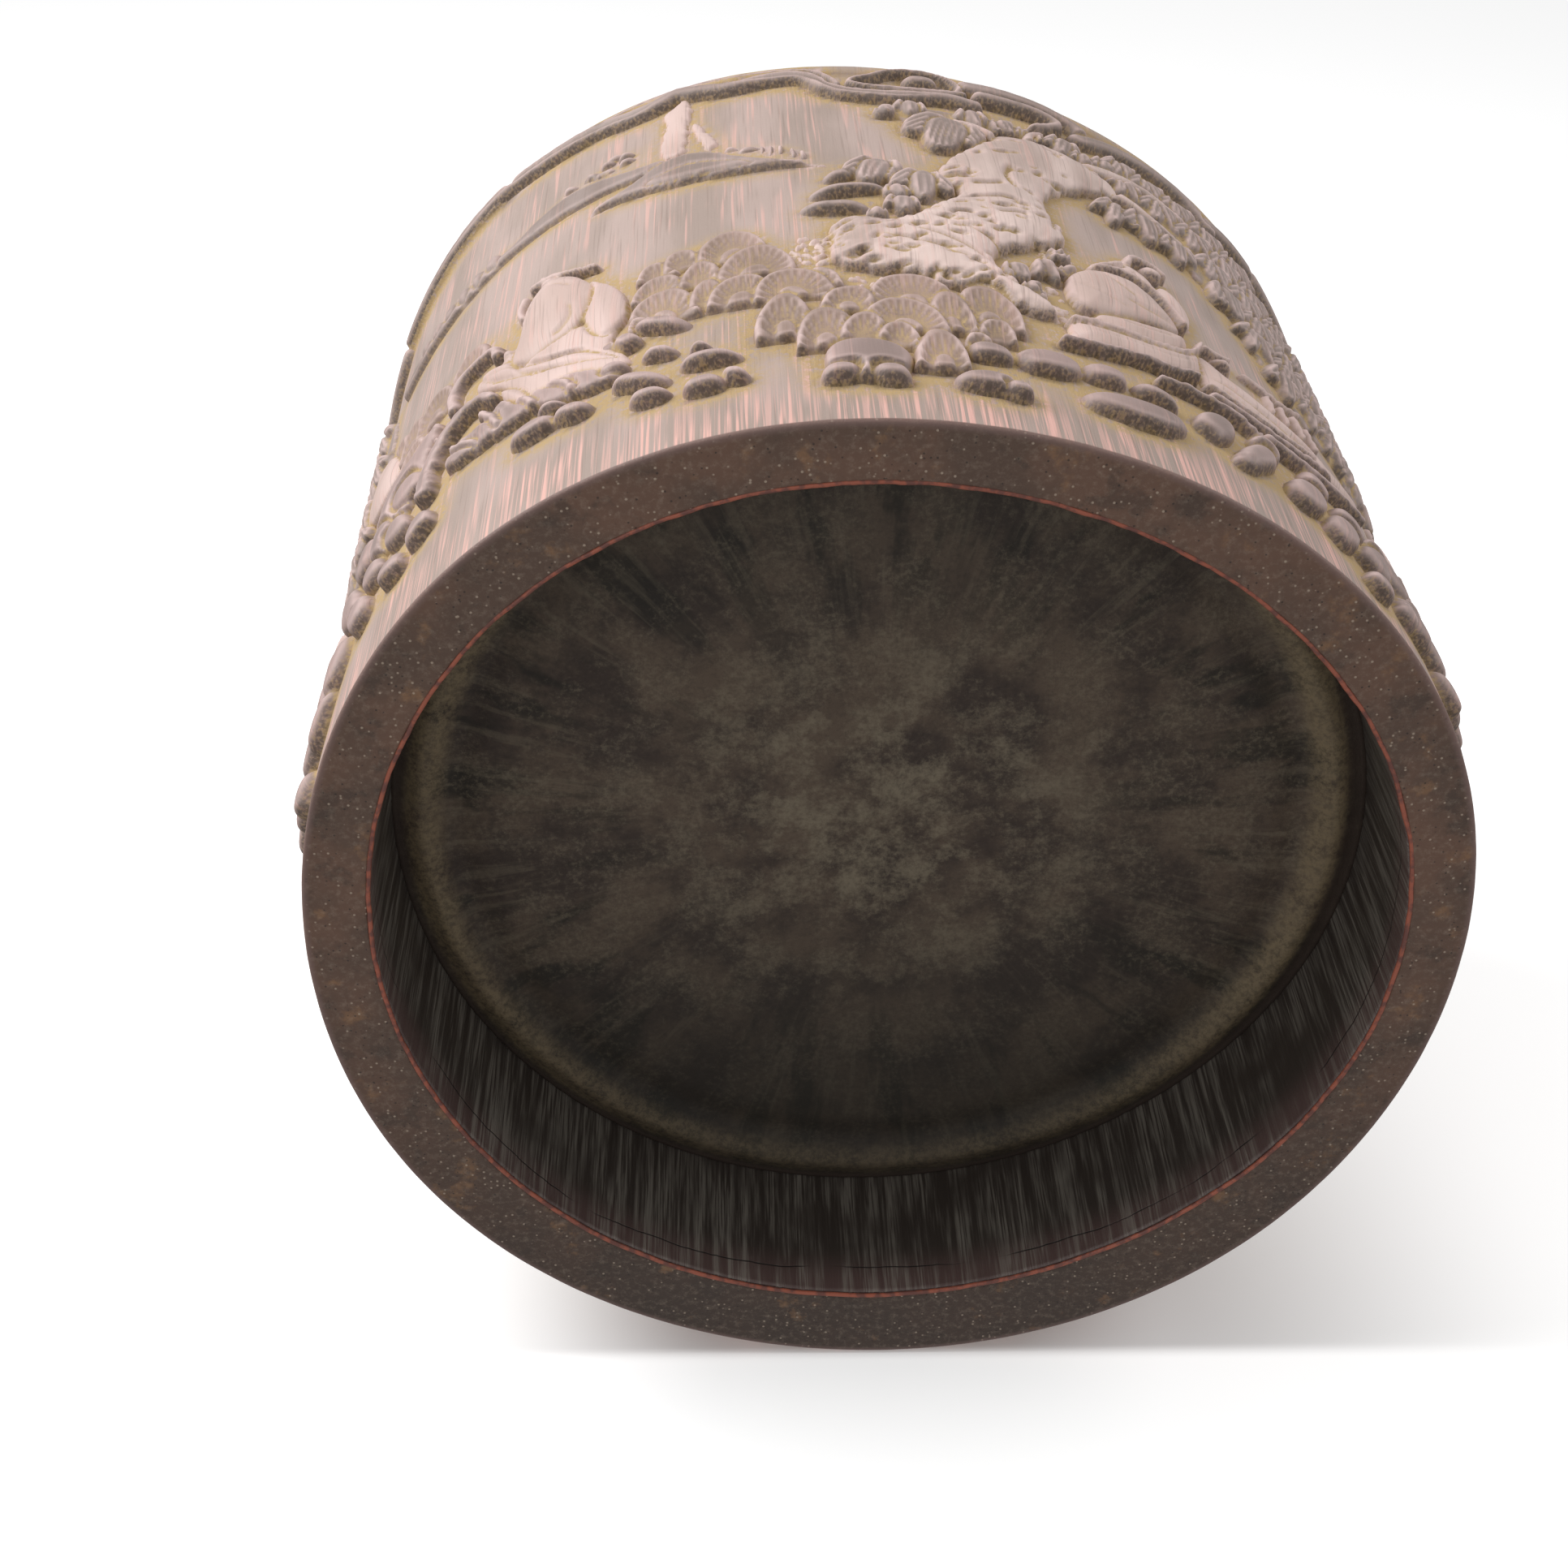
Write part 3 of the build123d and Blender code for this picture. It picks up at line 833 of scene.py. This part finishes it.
# Turned shapes: a profile of (radius, level) carried round the wavy outline of the culm
def turningTree():
    tree = bpy.data.node_groups.new("turnedShape", "GeometryNodeTree")
    inputs = (("Geometry", "Geometry"), ("Profile Points", "Int"), ("Steps", "Int"), ("Bore Shift", "Float"),
              ("Ripple", "Float"), ("Ripple Round", "Float"), ("Ripple Along", "Float"), ("Seed", "Float"),
              ("Finish", "Material"))
    for name, kind in inputs:
        tree.interface.new_socket(name, in_out="INPUT", socket_type="NodeSocket" + kind)
    tree.interface.new_socket("Geometry", in_out="OUTPUT", socket_type="NodeSocketGeometry")
    bench = Bench(tree)
    given = {name: bench.node("NodeGroupInput", out=name) for name, kind in inputs}

    ringPoints = given["Steps"] + 1
    counts = {"Vertices X": given["Profile Points"], "Vertices Y": ringPoints}
    sheet = bench.node("GeometryNodeMeshGrid", {}, counts, out="Mesh")
    index = bench.node("GeometryNodeInputIndex")
    place = bench.maths("FLOOR", index / ringPoints)
    bearing = (index - place * ringPoints) / given["Steps"] * (2 * math.pi) - math.pi

    def onProfile(value):
        sampled = bench.node("GeometryNodeSampleIndex", {"data_type": "FLOAT_VECTOR"},
                             {"Geometry": given["Geometry"], "Value": value, "Index": place}, out="Value")
        return bench.axes(sampled)

    radius, _, level = onProfile(bench.node("GeometryNodeInputPosition"))
    vectors = {"data_type": "FLOAT_VECTOR"}
    share, lift = (bench.node("GeometryNodeInputNamedAttribute", vectors, {"Name": name}, out="Attribute")
                   for name in ("share", "lift"))
    outerShare, boreShare, shiftShare = onProfile(share)
    liftOut, _, liftUp = onProfile(lift)

    sine, cosine = bench.maths("SINE", bearing), bench.maths("COSINE", bearing)
    vector = bench.node("ShaderNodeCombineXYZ", {}, {
        0: sine * given["Ripple Round"], 1: cosine * given["Ripple Round"],
        2: (radius + level) * given["Ripple Along"]})
    ripple = bench.node("ShaderNodeTexNoise", {"noise_dimensions": "4D"},
                        {"Vector": vector, "W": given["Seed"], "Scale": 1.0, "Detail": 3.0})
    ripple = (ripple - 0.5) * given["Ripple"]
    waves = [wavesOf(bearing, culm[name]) * mm for name in ("outerWaves", "boreWaves")]
    radius = radius + waves[0] * outerShare + waves[1] * boreShare + ripple * liftOut
    position = bench.node("ShaderNodeCombineXYZ", {}, {
        0: radius * sine, 1: 0 - radius * cosine - shiftShare * given["Bore Shift"],
        2: level + ripple * liftUp})
    shaped = bench.node("GeometryNodeSetPosition", {}, {"Geometry": sheet, "Position": position})
    facing = bench.node("GeometryNodeFlipFaces", {}, {"Mesh": shaped})
    joined = bench.node("GeometryNodeMergeByDistance", {}, {"Geometry": facing, "Distance": 0.004 * mm})
    whole = bench.node("GeometryNodeRealizeInstances", {}, {"Geometry": joined})
    dressed = bench.node("GeometryNodeSetMaterial", {}, {"Geometry": whole, "Material": given["Finish"]})
    bench.node("NodeGroupOutput", {}, {"Geometry": dressed})
    return tree


turning = turningTree()


def turnedPiece(name, profile, finish, ripple, rippleRound, rippleAlong, turns=420, seed=1.0):
    # profile: radius, level, shares of outer waves, bore waves and bore shift, ripple outwards and upwards
    mesh = bpy.data.meshes.new(name)
    edges = [(i, i + 1) for i in range(len(profile) - 1)]
    mesh.from_pydata([(radius * mm, 0, level * mm) for radius, level, *_ in profile], edges, [])
    stored = {"share": [p[2:5] for p in profile], "lift": [(p[5], 0, p[6]) for p in profile]}
    for attributeName, vectors in stored.items():
        attribute = mesh.attributes.new(attributeName, "FLOAT_VECTOR", "POINT")
        attribute.data.foreach_set("vector", np.array(vectors, np.float32).ravel())
    piece = newPiece(name, mesh)
    turner = piece.modifiers.new("turn", "NODES")
    turner.node_group = turning
    values = {"Profile Points": len(profile), "Steps": turns, "Bore Shift": culm["boreShift"] * mm,
              "Ripple": ripple * mm, "Ripple Round": rippleRound, "Ripple Along": rippleAlong, "Seed": seed,
              "Finish": finish}
    for socket in turning.interface.items_tree:
        if socket.in_out == "INPUT" and socket.name in values:
            turner[socket.identifier] = values[socket.name]
    piece.update_tag()
    finished(piece)
    print(name, sum(len(p.vertices) - 2 for p in piece.data.polygons), "triangles")
    return piece


def arc(middle, size, start, end, count):
    # Points on an ellipse's arc, in degrees from outwards towards up
    angles = np.radians(np.linspace(start, end, count))
    return [(middle[0] + size[0] * math.cos(a), middle[1] + size[1] * math.sin(a)) for a in angles]


def run(start, end, count):
    return [tuple(point) for point in np.linspace(start, end, count)]


def wallProfile():
    foot, bore, mouth = culm["footRadius"], culm["boreRadius"], culm["mouthBore"]
    height, arris, rounding = culm["height"], culm["arris"], culm["rimRound"]
    top = foot + culm["flare"] + culm["lip"]
    outside = arc((foot - arris, arris), (arris, arris), -90, 0, 5)
    outside += run((foot, 1.2), (foot + culm["flare"] * 0.96, height - 6), 92)
    outside += run((foot + culm["flare"] + 0.1, height - 3.4), (top, height - 2.9), 3)
    outside += arc((top - rounding, height - rounding), (rounding, rounding), 0, 90, 7)
    inside = arc((mouth + rounding, height - rounding), (rounding, rounding), 90, 180, 7)
    inside += run((mouth, height - 3), (bore, culm["cavityFloor"]), 30)
    inside += run((bore, culm["recessTop"]), (bore, arris), 8)[:-1]
    inside += arc((bore + arris, arris), (arris, arris), 180, 270, 5)
    face = run((bore + 1, 0), (foot - 1, 0), 9)
    points = [(r, z, 1, 0, 0, 1, 0) for r, z in outside] + [(r, z, 0, 1, 1, 0, 0) for r, z in inside]
    for r, z in face:
        outer = (r - bore) / (foot - bore)
        points.append((r, z, outer, 1 - outer, 1 - outer, 0, 0))
    return points + points[:1]


plate = {  # mm in from its edge, then half width where there is one, then height or depth
    "ridge": (4.1, 2.0, 1.5),
    "moat": (8.4, 2.2, 0.5),
    "dish": (7, 1.5),
    "fillet": (4, 1.6),
    "dishAbove": 0.9,
    "surface": {"ripple": 0.55, "rippleRound": 20.0, "rippleAlong": 60.0, "seed": 3.0},
}


def plateProfile():
    # The partition: dished and ridged below, gently dished above
    edge, under, over = culm["boreRadius"], culm["recessTop"], culm["cavityFloor"]
    ridgeIn, ridgeWide, ridgeHigh = plate["ridge"]
    moatIn, moatWide, moatDeep = plate["moat"]
    dishIn, dishDeep = plate["dish"]
    filletIn, filletHigh = plate["fillet"]
    points = []
    for r in np.linspace(0, edge - 0.02, 84):
        ridge = math.exp(-(((r - (edge - ridgeIn)) / ridgeWide) ** 2)) * ridgeHigh
        dish = dishDeep * (1 - (r / (edge - dishIn)) ** 2) if r < edge - dishIn else 0
        moat = moatDeep * math.exp(-(((r - (edge - moatIn)) / moatWide) ** 2))
        lift = min(r / 12, 1) * (1 if r < edge - 3 else 0.3)
        points.append((r, under - ridge + dish + moat, 0, (r / edge) ** 2, 1, 0, lift))
    for r in np.linspace(edge - 0.02, 0, 50):
        fillet = filletHigh * max(0, (r - (edge - filletIn)) / filletIn) ** 2
        level = over - plate["dishAbove"] * (1 - (r / edge) ** 2) + fillet
        points.append((r, level, 0, (r / edge) ** 2, 1, 0, 0.5 * min(r / 12, 1)))
    return points


film = {  # mm
    "thickness": 0.3,
    "low": 0.6,
    "surface": {"turns": 900, "ripple": 0.3, "rippleRound": 60.0, "rippleAlong": 30.0, "seed": 5.0},
}


def filmProfile():
    # The lacquer skin: its inner face is rippled by the fibres under it
    out, skin = culm["boreRadius"] + 0.02, culm["boreRadius"] - film["thickness"]
    low, high = film["low"], culm["recessTop"] + 0.4
    points = [(out, z, 0, 1, 1, 0, 0) for z in np.linspace(high, low, 4)]
    points += [(skin, z, 0, 1, 1, 1, 0) for z in np.linspace(low + 0.1, high, 34)]
    return (points + points[:1])[::-1]


bead = {  # mm
    "inwards": 0.05,
    "level": 0.27,
    "size": (0.3, 0.3),
    "surface": {"turns": 900, "ripple": 0.9, "rippleRound": 9.0, "rippleAlong": 10.0, "seed": 8.0},
}


def lineProfile():
    outline = arc((culm["boreRadius"] - bead["inwards"], bead["level"]), bead["size"], 0, 360, 11)
    return [(r, z, 0, 1, 1, 1, 0.3) for r, z in outline]


# Finishes
def newFinish(name):
    material = bpy.data.materials.new(name)
    material.use_nodes = True
    material.node_tree.nodes.clear()
    bench = Bench(material.node_tree)
    place = bench.node("ShaderNodeVectorMath", {"operation": "SCALE"},
                       {0: bench.node("ShaderNodeTexCoord", out="Object"), "Scale": 1 / mm})
    return material, bench, place


def dress(bench, colour, roughness, height, bump, specular=0.5):
    normal = bench.node("ShaderNodeBump", {}, {"Height": height, "Strength": bump, "Distance": 0.4 * mm})
    shader = bench.node("ShaderNodeBsdfPrincipled", {}, {"Base Color": colour, "Roughness": roughness,
                                                         "Normal": normal, "Specular IOR Level": specular})
    bench.node("ShaderNodeOutputMaterial", {}, {"Surface": shader})


def radiusOf(x, y):
    return ((x * x) + (y * y)) ** 0.5


def fibres(bench, place, across, along, offset=0.0, detail=1.0, inwards=0.25):
    # Noise in lines that run up the culm, and straight in from its surface, as its fibres do
    x, y, z = bench.axes(place)
    radius = radiusOf(x, y)
    spread = across * culm["footRadius"]
    vector = bench.node("ShaderNodeCombineXYZ", {}, {0: x / radius * spread + offset, 1: y / radius * spread,
                                                     2: z * along + radius * inwards})
    return bench.noise(vector, 1.0, detail)


bambooFinish = {
    "tones": {  # clean colour, its darker neighbour, how far the pink fibres show
        "ground": ((0.475, 0.365, 0.325), (0.375, 0.29, 0.25), 0.6),
        "pale": ((0.70, 0.525, 0.475), (0.55, 0.405, 0.355), 0.35),
        "bark": ((0.76, 0.595, 0.54), (0.47, 0.355, 0.31), 0.35),
        "stone": ((0.385, 0.272, 0.25), (0.27, 0.195, 0.175), 0.2),
        "fan": ((0.365, 0.25, 0.208), (0.25, 0.172, 0.132), 0.2),
        "shade": ((0.33, 0.255, 0.23), (0.25, 0.187, 0.16), 0.15),
    },
    "fibre": (0.74, 0.44, 0.38),  # the pink vascular lines
    "darkFibre": (0.26, 0.19, 0.16),
    "ochre": (0.47, 0.33, 0.165),
    "grime": (0.34, 0.23, 0.115),
    # painted shade with dirt, for the undercuts
    "shadeAndDirt": (0.07, 0.048, 0.034),
    # polished crests: real wear, and partly a painted highlight
    "polishAndHighlight": (0.66, 0.49, 0.46),
    "roughness": 0.46,
    "bump": 0.25,
}


def bambooColour(bench, place, tone):
    # Lengthwise grain, vascular lines, then the dust, dirt and polished wear that the carving gathers, with
    # painted shade in its undercuts and a painted highlight on its crests
    clean, darker, pink = bambooFinish["tones"][tone]
    broad = bench.noise(bench.stretched(place, (0.10, 0.10, 0.03)), 1.0, 3).between(0.36, 0.64)
    fine = fibres(bench, place, 3.4, 0.06, 0.0, 2)
    lines = fibres(bench, place, 2.3, 0.045, 7.0)
    crowd = fibres(bench, place, 3.9, 0.05, 15.0)
    dashes = fibres(bench, place, 0.3, 0.07, 3.0)
    low = bench.axes(place)[2].between(15, 3)  # more lines near the foot
    line = lines.between(0.51, 0.64) * dashes.between(0.38, 0.6) + low * crowd.between(0.5, 0.6) * 0.5
    gouged = fibres(bench, place, 2.6, 1.6, 11.0, 4, 1.4)
    colour = bench.mix(broad + low * 0.5, clean, darker)
    colour = bench.mix(fine.between(0.46, 0.26) * 0.5, colour, bambooFinish["darkFibre"])
    colour = bench.mix(line * (low * 0.9 + 1) * pink, colour, bambooFinish["fibre"])
    mottle = bench.noise(place, 0.35, 4, 0.6)
    powder = bench.noise(place, 1.3, 5, 0.75)
    dust, cutShadeAndDirt, worn = (bench.attribute(name) for name in ("dust", "cutShadeAndDirt", "worn"))
    # polished wear on the crests, partly a painted highlight
    colour = bench.mix(worn * mottle.between(0.22, 0.48) * 0.95, colour, bambooFinish["polishAndHighlight"])
    powdered = powder.between(0.38, 0.52) * 0.8 + mottle.between(0.4, 0.6) * 0.2
    colour = bench.mix((dust * 1.6 - 0.1) * powdered, colour, bambooFinish["ochre"])
    # painted shade, with dirt, on the undercuts and steep faces
    colour = bench.mix(cutShadeAndDirt * (gouged.between(0.6, 0.4) * 0.3 + 0.55), colour, bambooFinish["shadeAndDirt"])
    colour = bench.mix(cutShadeAndDirt * gouged.between(0.5, 0.64) * 0.6, colour, bambooFinish["grime"])
    height = fine * 0.4 + line * 0.3 + powder * 0.4 + gouged * (cutShadeAndDirt + dust) * 1.2
    rough = mottle.between(0.3, 0.7) * 0.14 + dust * 0.25 + cutShadeAndDirt * 0.15 + bambooFinish["roughness"]
    return colour, rough, height


def carvedBamboo(name, tone):
    material, bench, place = newFinish(name)
    colour, rough, height = bambooColour(bench, place, tone)
    dress(bench, colour, rough, height, bambooFinish["bump"])
    return material


footFinish = {
    "face": (0.163, 0.089, 0.060),
    "faceToo": (0.116, 0.070, 0.050),
    "stain": (0.31, 0.165, 0.08),
    "speck": (0.55, 0.44, 0.34),
    "pore": (0.03, 0.02, 0.016),
    "arris": (0.22, 0.14, 0.125),
    "shade": (0.055, 0.038, 0.030),
}


def culmBamboo():
    # The wall: carved ground outside, end grain on the foot's face, a darker skin inside
    material, bench, place = newFinish("culmBamboo")
    colour, rough, height = bambooColour(bench, place, "ground")
    x, y, z = bench.axes(place)
    radius = radiusOf(x, y)

    broad = bench.noise(place, 0.06, 4, 0.6)
    stains = bench.noise(place, 0.16, 5, 0.65)
    face = bench.mix(broad.between(0.4, 0.62), footFinish["face"], footFinish["faceToo"])
    # painted shade: the foot's face darker on its side towards the floor
    face = bench.mix(y.between(-10, 72) * 0.85, face, footFinish["shade"])
    face = bench.mix(stains.between(0.57, 0.7) * 0.6, face, footFinish["stain"])
    face = bench.mix(stains.between(0.46, 0.36) * 0.5, face, footFinish["shade"])
    dusting = bench.noise(place, 1.0, 6, 0.75)
    face = bench.mix(dusting.between(0.46, 0.72) * 0.2, face, footFinish["speck"])
    grain = {"Vector": place, "Scale": 1.3}
    cells = bench.node("ShaderNodeTexVoronoi", {"feature": "F1"}, grain, out="Distance")
    chosen = bench.node("ShaderNodeTexVoronoi", {"feature": "F1"}, grain, out="Color")
    pick = bench.node("ShaderNodeSeparateColor", {}, {0: chosen}, out=0)
    speck = cells.between(0.26, 0.12) * pick.between(0.6, 0.7)
    pore = cells.between(0.22, 0.12) * pick.between(0.42, 0.36)
    face = bench.mix(speck * 0.6, face, footFinish["speck"])
    face = bench.mix(pore * 0.7, face, footFinish["pore"])
    bearing = bench.maths("ARCTAN2", x, 0 - y)
    inwards = radius - wavesOf(bearing, culm["outerWaves"]) - culm["footRadius"]
    face = bench.mix(inwards.between(-1.1, -0.2) * 0.7, face, footFinish["arris"])
    grit = bench.noise(place, 3.2, 4, 0.7)
    onFace = z.between(0.62, 0.3)

    inside = bench.mix(bench.noise(bench.stretched(place, (0.6, 0.6, 0.02)), 1.0, 3).between(0.35, 0.65),
                       plateFinish["brown"], bambooFinish["tones"]["shade"][1])
    onInside = radius.between(culm["footRadius"] - 2.4, culm["footRadius"] - 4.2) * z.between(5, 8)
    colour = bench.mix(onInside, colour, inside)
    colour = bench.mix(onFace, colour, face)
    height = height * (1 - onFace) + (grit * 0.9 - pore * 0.6 + speck * 0.2) * onFace
    rough = rough * (1 - onFace) + (grit * 0.2 + 0.42) * onFace
    dress(bench, colour, rough, height, bambooFinish["bump"], 0.4)
    return material


def radialNoise(bench, place, across, along):
    # Noise drawn out from the middle, after the fibres of the partition
    x, y, _ = bench.axes(place)
    y = y + culm["boreShift"]
    radius = radiusOf(x, y) + 0.01
    vector = bench.node("ShaderNodeCombineXYZ", {}, {0: x / radius * across, 1: y / radius * across,
                                                     2: radius * along})
    return bench.noise(vector, 1.0, 4, 0.6), radius


plateFinish = {
    "dark": (0.055, 0.038, 0.03),
    "brown": (0.12, 0.085, 0.06),
    "grey": (0.22, 0.18, 0.125),
    "olive": (0.24, 0.18, 0.105),
    "shade": (0.018, 0.016, 0.012),
}


def plateBamboo():
    material, bench, place = newFinish("plateBamboo")
    spokes, radius = radialNoise(bench, place, 7.0, 0.05)
    fine, _ = radialNoise(bench, place, 30.0, 0.06)
    blotch = bench.noise(place, 0.075, 5, 0.62)
    cloud = bench.noise(place, 0.14, 9, 0.8)
    y = bench.axes(place)[1]
    edge = culm["boreRadius"]
    colour = bench.mix(blotch.between(0.38, 0.6), plateFinish["dark"], plateFinish["brown"])
    middle = radius.between(38, 8)
    colour = bench.mix(cloud.between(0.44, 0.66) * (middle * 0.8 + 0.2), colour, plateFinish["grey"])
    outerHalf = radius.between(20, 46)
    colour = bench.mix(spokes.between(0.5, 0.38) * outerHalf * 0.7, colour, plateFinish["shade"])
    colour = bench.mix(fine.between(0.52, 0.68) * outerHalf * 0.3, colour, plateFinish["grey"])
    powder = bench.noise(place, 1.3, 5, 0.75)
    dusty = powder.between(0.47, 0.63) * cloud.between(0.4, 0.6)
    colour = bench.mix(dusty * 0.45, colour, plateFinish["grey"])
    colour = bench.mix(powder.between(0.5, 0.38) * 0.2, colour, plateFinish["shade"])
    # painted shade: the partition darker towards its floor side, and less so at the opposite side
    colour = bench.mix(y.between(0, 48) * 0.7, colour, plateFinish["shade"])
    colour = bench.mix(y.between(-20, -56) * 0.35, colour, plateFinish["shade"])
    ridge = radius.between(edge - 7.5, edge - 5) * radius.between(edge - 1.2, edge - 2.6) * y.between(85, 5)
    colour = bench.mix(ridge * (cloud.between(0.34, 0.56) * 0.5 + powder.between(0.4, 0.58) * 0.45), colour,
                       plateFinish["olive"])
    groove = radius.between(edge - 2.2, edge - 0.8)
    colour = bench.mix(groove * 0.85, colour, plateFinish["dark"])
    grit = bench.noise(place, 2.2, 4, 0.7)
    dress(bench, colour, grit * 0.25 + 0.55, grit * 0.7 + fine * 0.5, 0.3, 0.35)
    return material


filmFinish = {
    "dark": (0.045, 0.035, 0.029),
    "purple": (0.10, 0.062, 0.056),
    "scrape": (0.33, 0.30, 0.255),
    "crack": (0.008, 0.006, 0.005),
}


def filmLacquer():
    material, bench, place = newFinish("filmLacquer")
    z = bench.axes(place)[2]
    streak = bench.noise(bench.stretched(place, (0.75, 0.75, 0.05)), 1.0, 3, 0.6)
    fine = bench.noise(bench.stretched(place, (3.6, 3.6, 0.09), (4, 1, 2)), 1.0, 3, 0.6)
    rubbed = bench.noise(bench.stretched(place, (0.05, 0.05, 0.06)), 1.0, 3)
    colour = bench.mix(z.between(9, 2), filmFinish["dark"], filmFinish["purple"])
    scrape = streak.between(0.36, 0.62) * fine.between(0.36, 0.6) * rubbed.between(0.3, 0.52)
    colour = bench.mix(scrape * 0.5, colour, filmFinish["scrape"])
    wander = bench.noise(bench.stretched(place, (0.03, 0.03, 0)), 1.0, 4) * 7 + 1.2
    gap = bench.maths("ABSOLUTE", z - wander)
    crack = gap.between(0.16, 0.06) * rubbed.between(0.4, 0.5)
    colour = bench.mix(crack * 0.9, colour, filmFinish["crack"])
    dress(bench, colour, fine * 0.2 + 0.36, fine * 0.6 - crack, 0.3)
    return material


lineFinish = {"red": (0.38, 0.105, 0.06), "redToo": (0.17, 0.06, 0.045)}


def redLacquer():
    material, bench, place = newFinish("redLacquer")
    worn = bench.noise(place, 0.7, 3)
    colour = bench.mix(worn.between(0.4, 0.6), lineFinish["red"], lineFinish["redToo"])
    dress(bench, colour, worn * 0.2 + 0.35, worn, 0.15)
    return material


# The pieces
finishes = {tone: carvedBamboo(tone + "Bamboo", tone) for tone in ("pale", "bark", "stone", "fan", "shade")}
print("finishes made")

culmWall = turnedPiece("culmWall", wallProfile(), culmBamboo(), **culm["surface"])
markHollows(culmWall.data)
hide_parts("culm_wall")
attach(culmWall, "root")

carvings = {  # layer, name, tone
    "mountains": ("mountainCarving", "shade"),
    "water": ("waterfallCarving", "pale"),
    "foliage": ("foliageCarving", "shade"),
    "trunk": ("pineCarving", "bark"),
    "fans": ("fanStoneCarving", "fan"),
    "banks": ("bankCarving", "stone"),
    "figures": ("scholarCarving", "pale"),
    "boulders": ("footStoneCarving", "stone"),
    "clouds": ("cloudCarving", "shade"),
}
for layer, (name, tone) in carvings.items():
    piece = carvedPiece(name, layer)
    piece.data.materials.append(finishes[tone])
    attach(piece, "root")

partition = turnedPiece("partition", plateProfile(), plateBamboo(), **plate["surface"])
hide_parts("node_diaphragm")
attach(partition, "root")

lacquerSkin = turnedPiece("lacquerSkin", filmProfile(), filmLacquer(), **film["surface"])
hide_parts("recess_lacquer")
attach(lacquerSkin, "root")

redLine = turnedPiece("redLine", lineProfile(), redLacquer(), **bead["surface"])
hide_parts("edge_lacquer_line")
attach(redLine, "root")
print("pieces made")

# The studio: the pot lies on its back, so the floor is upright in the pot's own frame
studio = {
    "floorDrop": 0.5,  # mm under the foot; the floor falls away from there to clear the carving
    "floorTilt": 2.1,
    "floorSize": 3.0,
    "cameraPlace": (-0.3038, -2.5128, -3.1465),  # in foot radii from the foot's centre
    "cameraForward": (0.0316, 0.5675, 0.8228),
    "cameraUp": (0.0, -0.8232, 0.5678),
    "lens": 54.04,
    "softbox": {"place": (-0.42, -0.44, 0.14), "size": 0.45, "power": 3.1},  # m and W
    "fill": {"place": (-0.28, -0.2, -0.4), "size": 0.3, "power": 0.25},
    "sideFill": {"place": (0.42, -0.34, 0.05), "size": 0.3, "power": 0.85},
    "edgeFill": {"place": (-0.55, -0.12, 0.08), "size": 0.3, "power": 0.25},
    "world": 0.43,
    "paper": (0.9, 0.9, 0.9),
    "paperShade": (0.06, 0.05, 0.05),
    "paperGlow": 0.42,  # keeps the paper bright, with a painted shadow where the foot all but touches it
    "contactShadow": {"x": 12, "near": 30, "far": 95},  # mm
}


def floorMaterial():
    # Seen from its back the floor is clear, so that it hides nothing from other sides
    material, bench, place = newFinish("floorPaper")
    matt = bench.node("ShaderNodeBsdfDiffuse", {}, {"Color": (*studio["paper"], 1)})
    x, _, z = bench.axes(place)
    # painted shadow on the paper near the foot, darkening its glow
    contactShadow = studio["contactShadow"]
    across = bench.maths("ABSOLUTE", x - contactShadow["x"])
    shaded = z.between(-1.5, 1.5) * z.between(contactShadow["far"], 0)
    shaded = shaded * across.between(contactShadow["far"], contactShadow["near"])
    lit = bench.mix(shaded, (1, 1, 1), studio["paperShade"])
    glow = bench.node("ShaderNodeEmission", {}, {"Color": lit, "Strength": studio["paperGlow"]})
    paper = bench.node("ShaderNodeAddShader", {}, {0: matt, 1: glow})
    clear = bench.node("ShaderNodeBsdfTransparent")
    behind = bench.node("ShaderNodeNewGeometry", out="Backfacing")
    both = bench.node("ShaderNodeMixShader", {}, {0: behind, 1: paper, 2: clear})
    bench.node("ShaderNodeOutputMaterial", {}, {"Surface": both})
    return material


def layFloor():
    half = studio["floorSize"] / 2
    fall = math.tan(math.radians(studio["floorTilt"])) * half
    mesh = bpy.data.meshes.new("floor")
    foot = (culm["footRadius"] + studio["floorDrop"]) * mm
    corners = [(x * half, foot + z * fall, z * half) for x, z in ((-1, -1), (1, -1), (1, 1), (-1, 1))]
    mesh.from_pydata(corners, [], [(0, 1, 2, 3)])
    floor = newPiece("floor", mesh)
    mesh.materials.append(floorMaterial())
    floor.visible_diffuse = False
    floor.visible_glossy = False
    floor.visible_shadow = False


def aimed(thing, place, forward, up):
    forward, up = Vector(forward).normalized(), Vector(up)
    right = forward.cross(up).normalized()
    up = right.cross(forward)
    thing.matrix_world = Matrix.Translation(place) @ Matrix((right, up, -forward)).transposed().to_4x4()


def softLight(name, place, size, power):
    light = bpy.data.lights.new(name, "AREA")
    light.shape, light.size, light.energy = "DISK", size, power
    lamp = newPiece(name, light)
    middle = Vector((0, 0, culm["height"] / 2 * mm))
    aimed(lamp, Vector(place), middle - Vector(place), (0, 0, 1))


layFloor()
for name in ("softbox", "fill", "sideFill", "edgeFill"):
    softLight(name, **studio[name])
world = bpy.data.worlds.new("studioWorld")
world.use_nodes = True
world.node_tree.nodes["Background"].inputs["Color"].default_value = (1, 1, 1, 1)
world.node_tree.nodes["Background"].inputs["Strength"].default_value = studio["world"]
bpy.context.scene.world = world
bpy.context.scene.view_settings.view_transform = "Standard"

camera = newPiece("camera", bpy.data.cameras.new("camera"))
camera.data.lens = studio["lens"]
camera.data.sensor_width = 36
camera.data.clip_start = 0.01
cameraPlace = Vector(studio["cameraPlace"]) * culm["footRadius"] * mm
aimed(camera, cameraPlace, studio["cameraForward"], studio["cameraUp"])
bpy.context.scene.camera = camera
print("studio set")
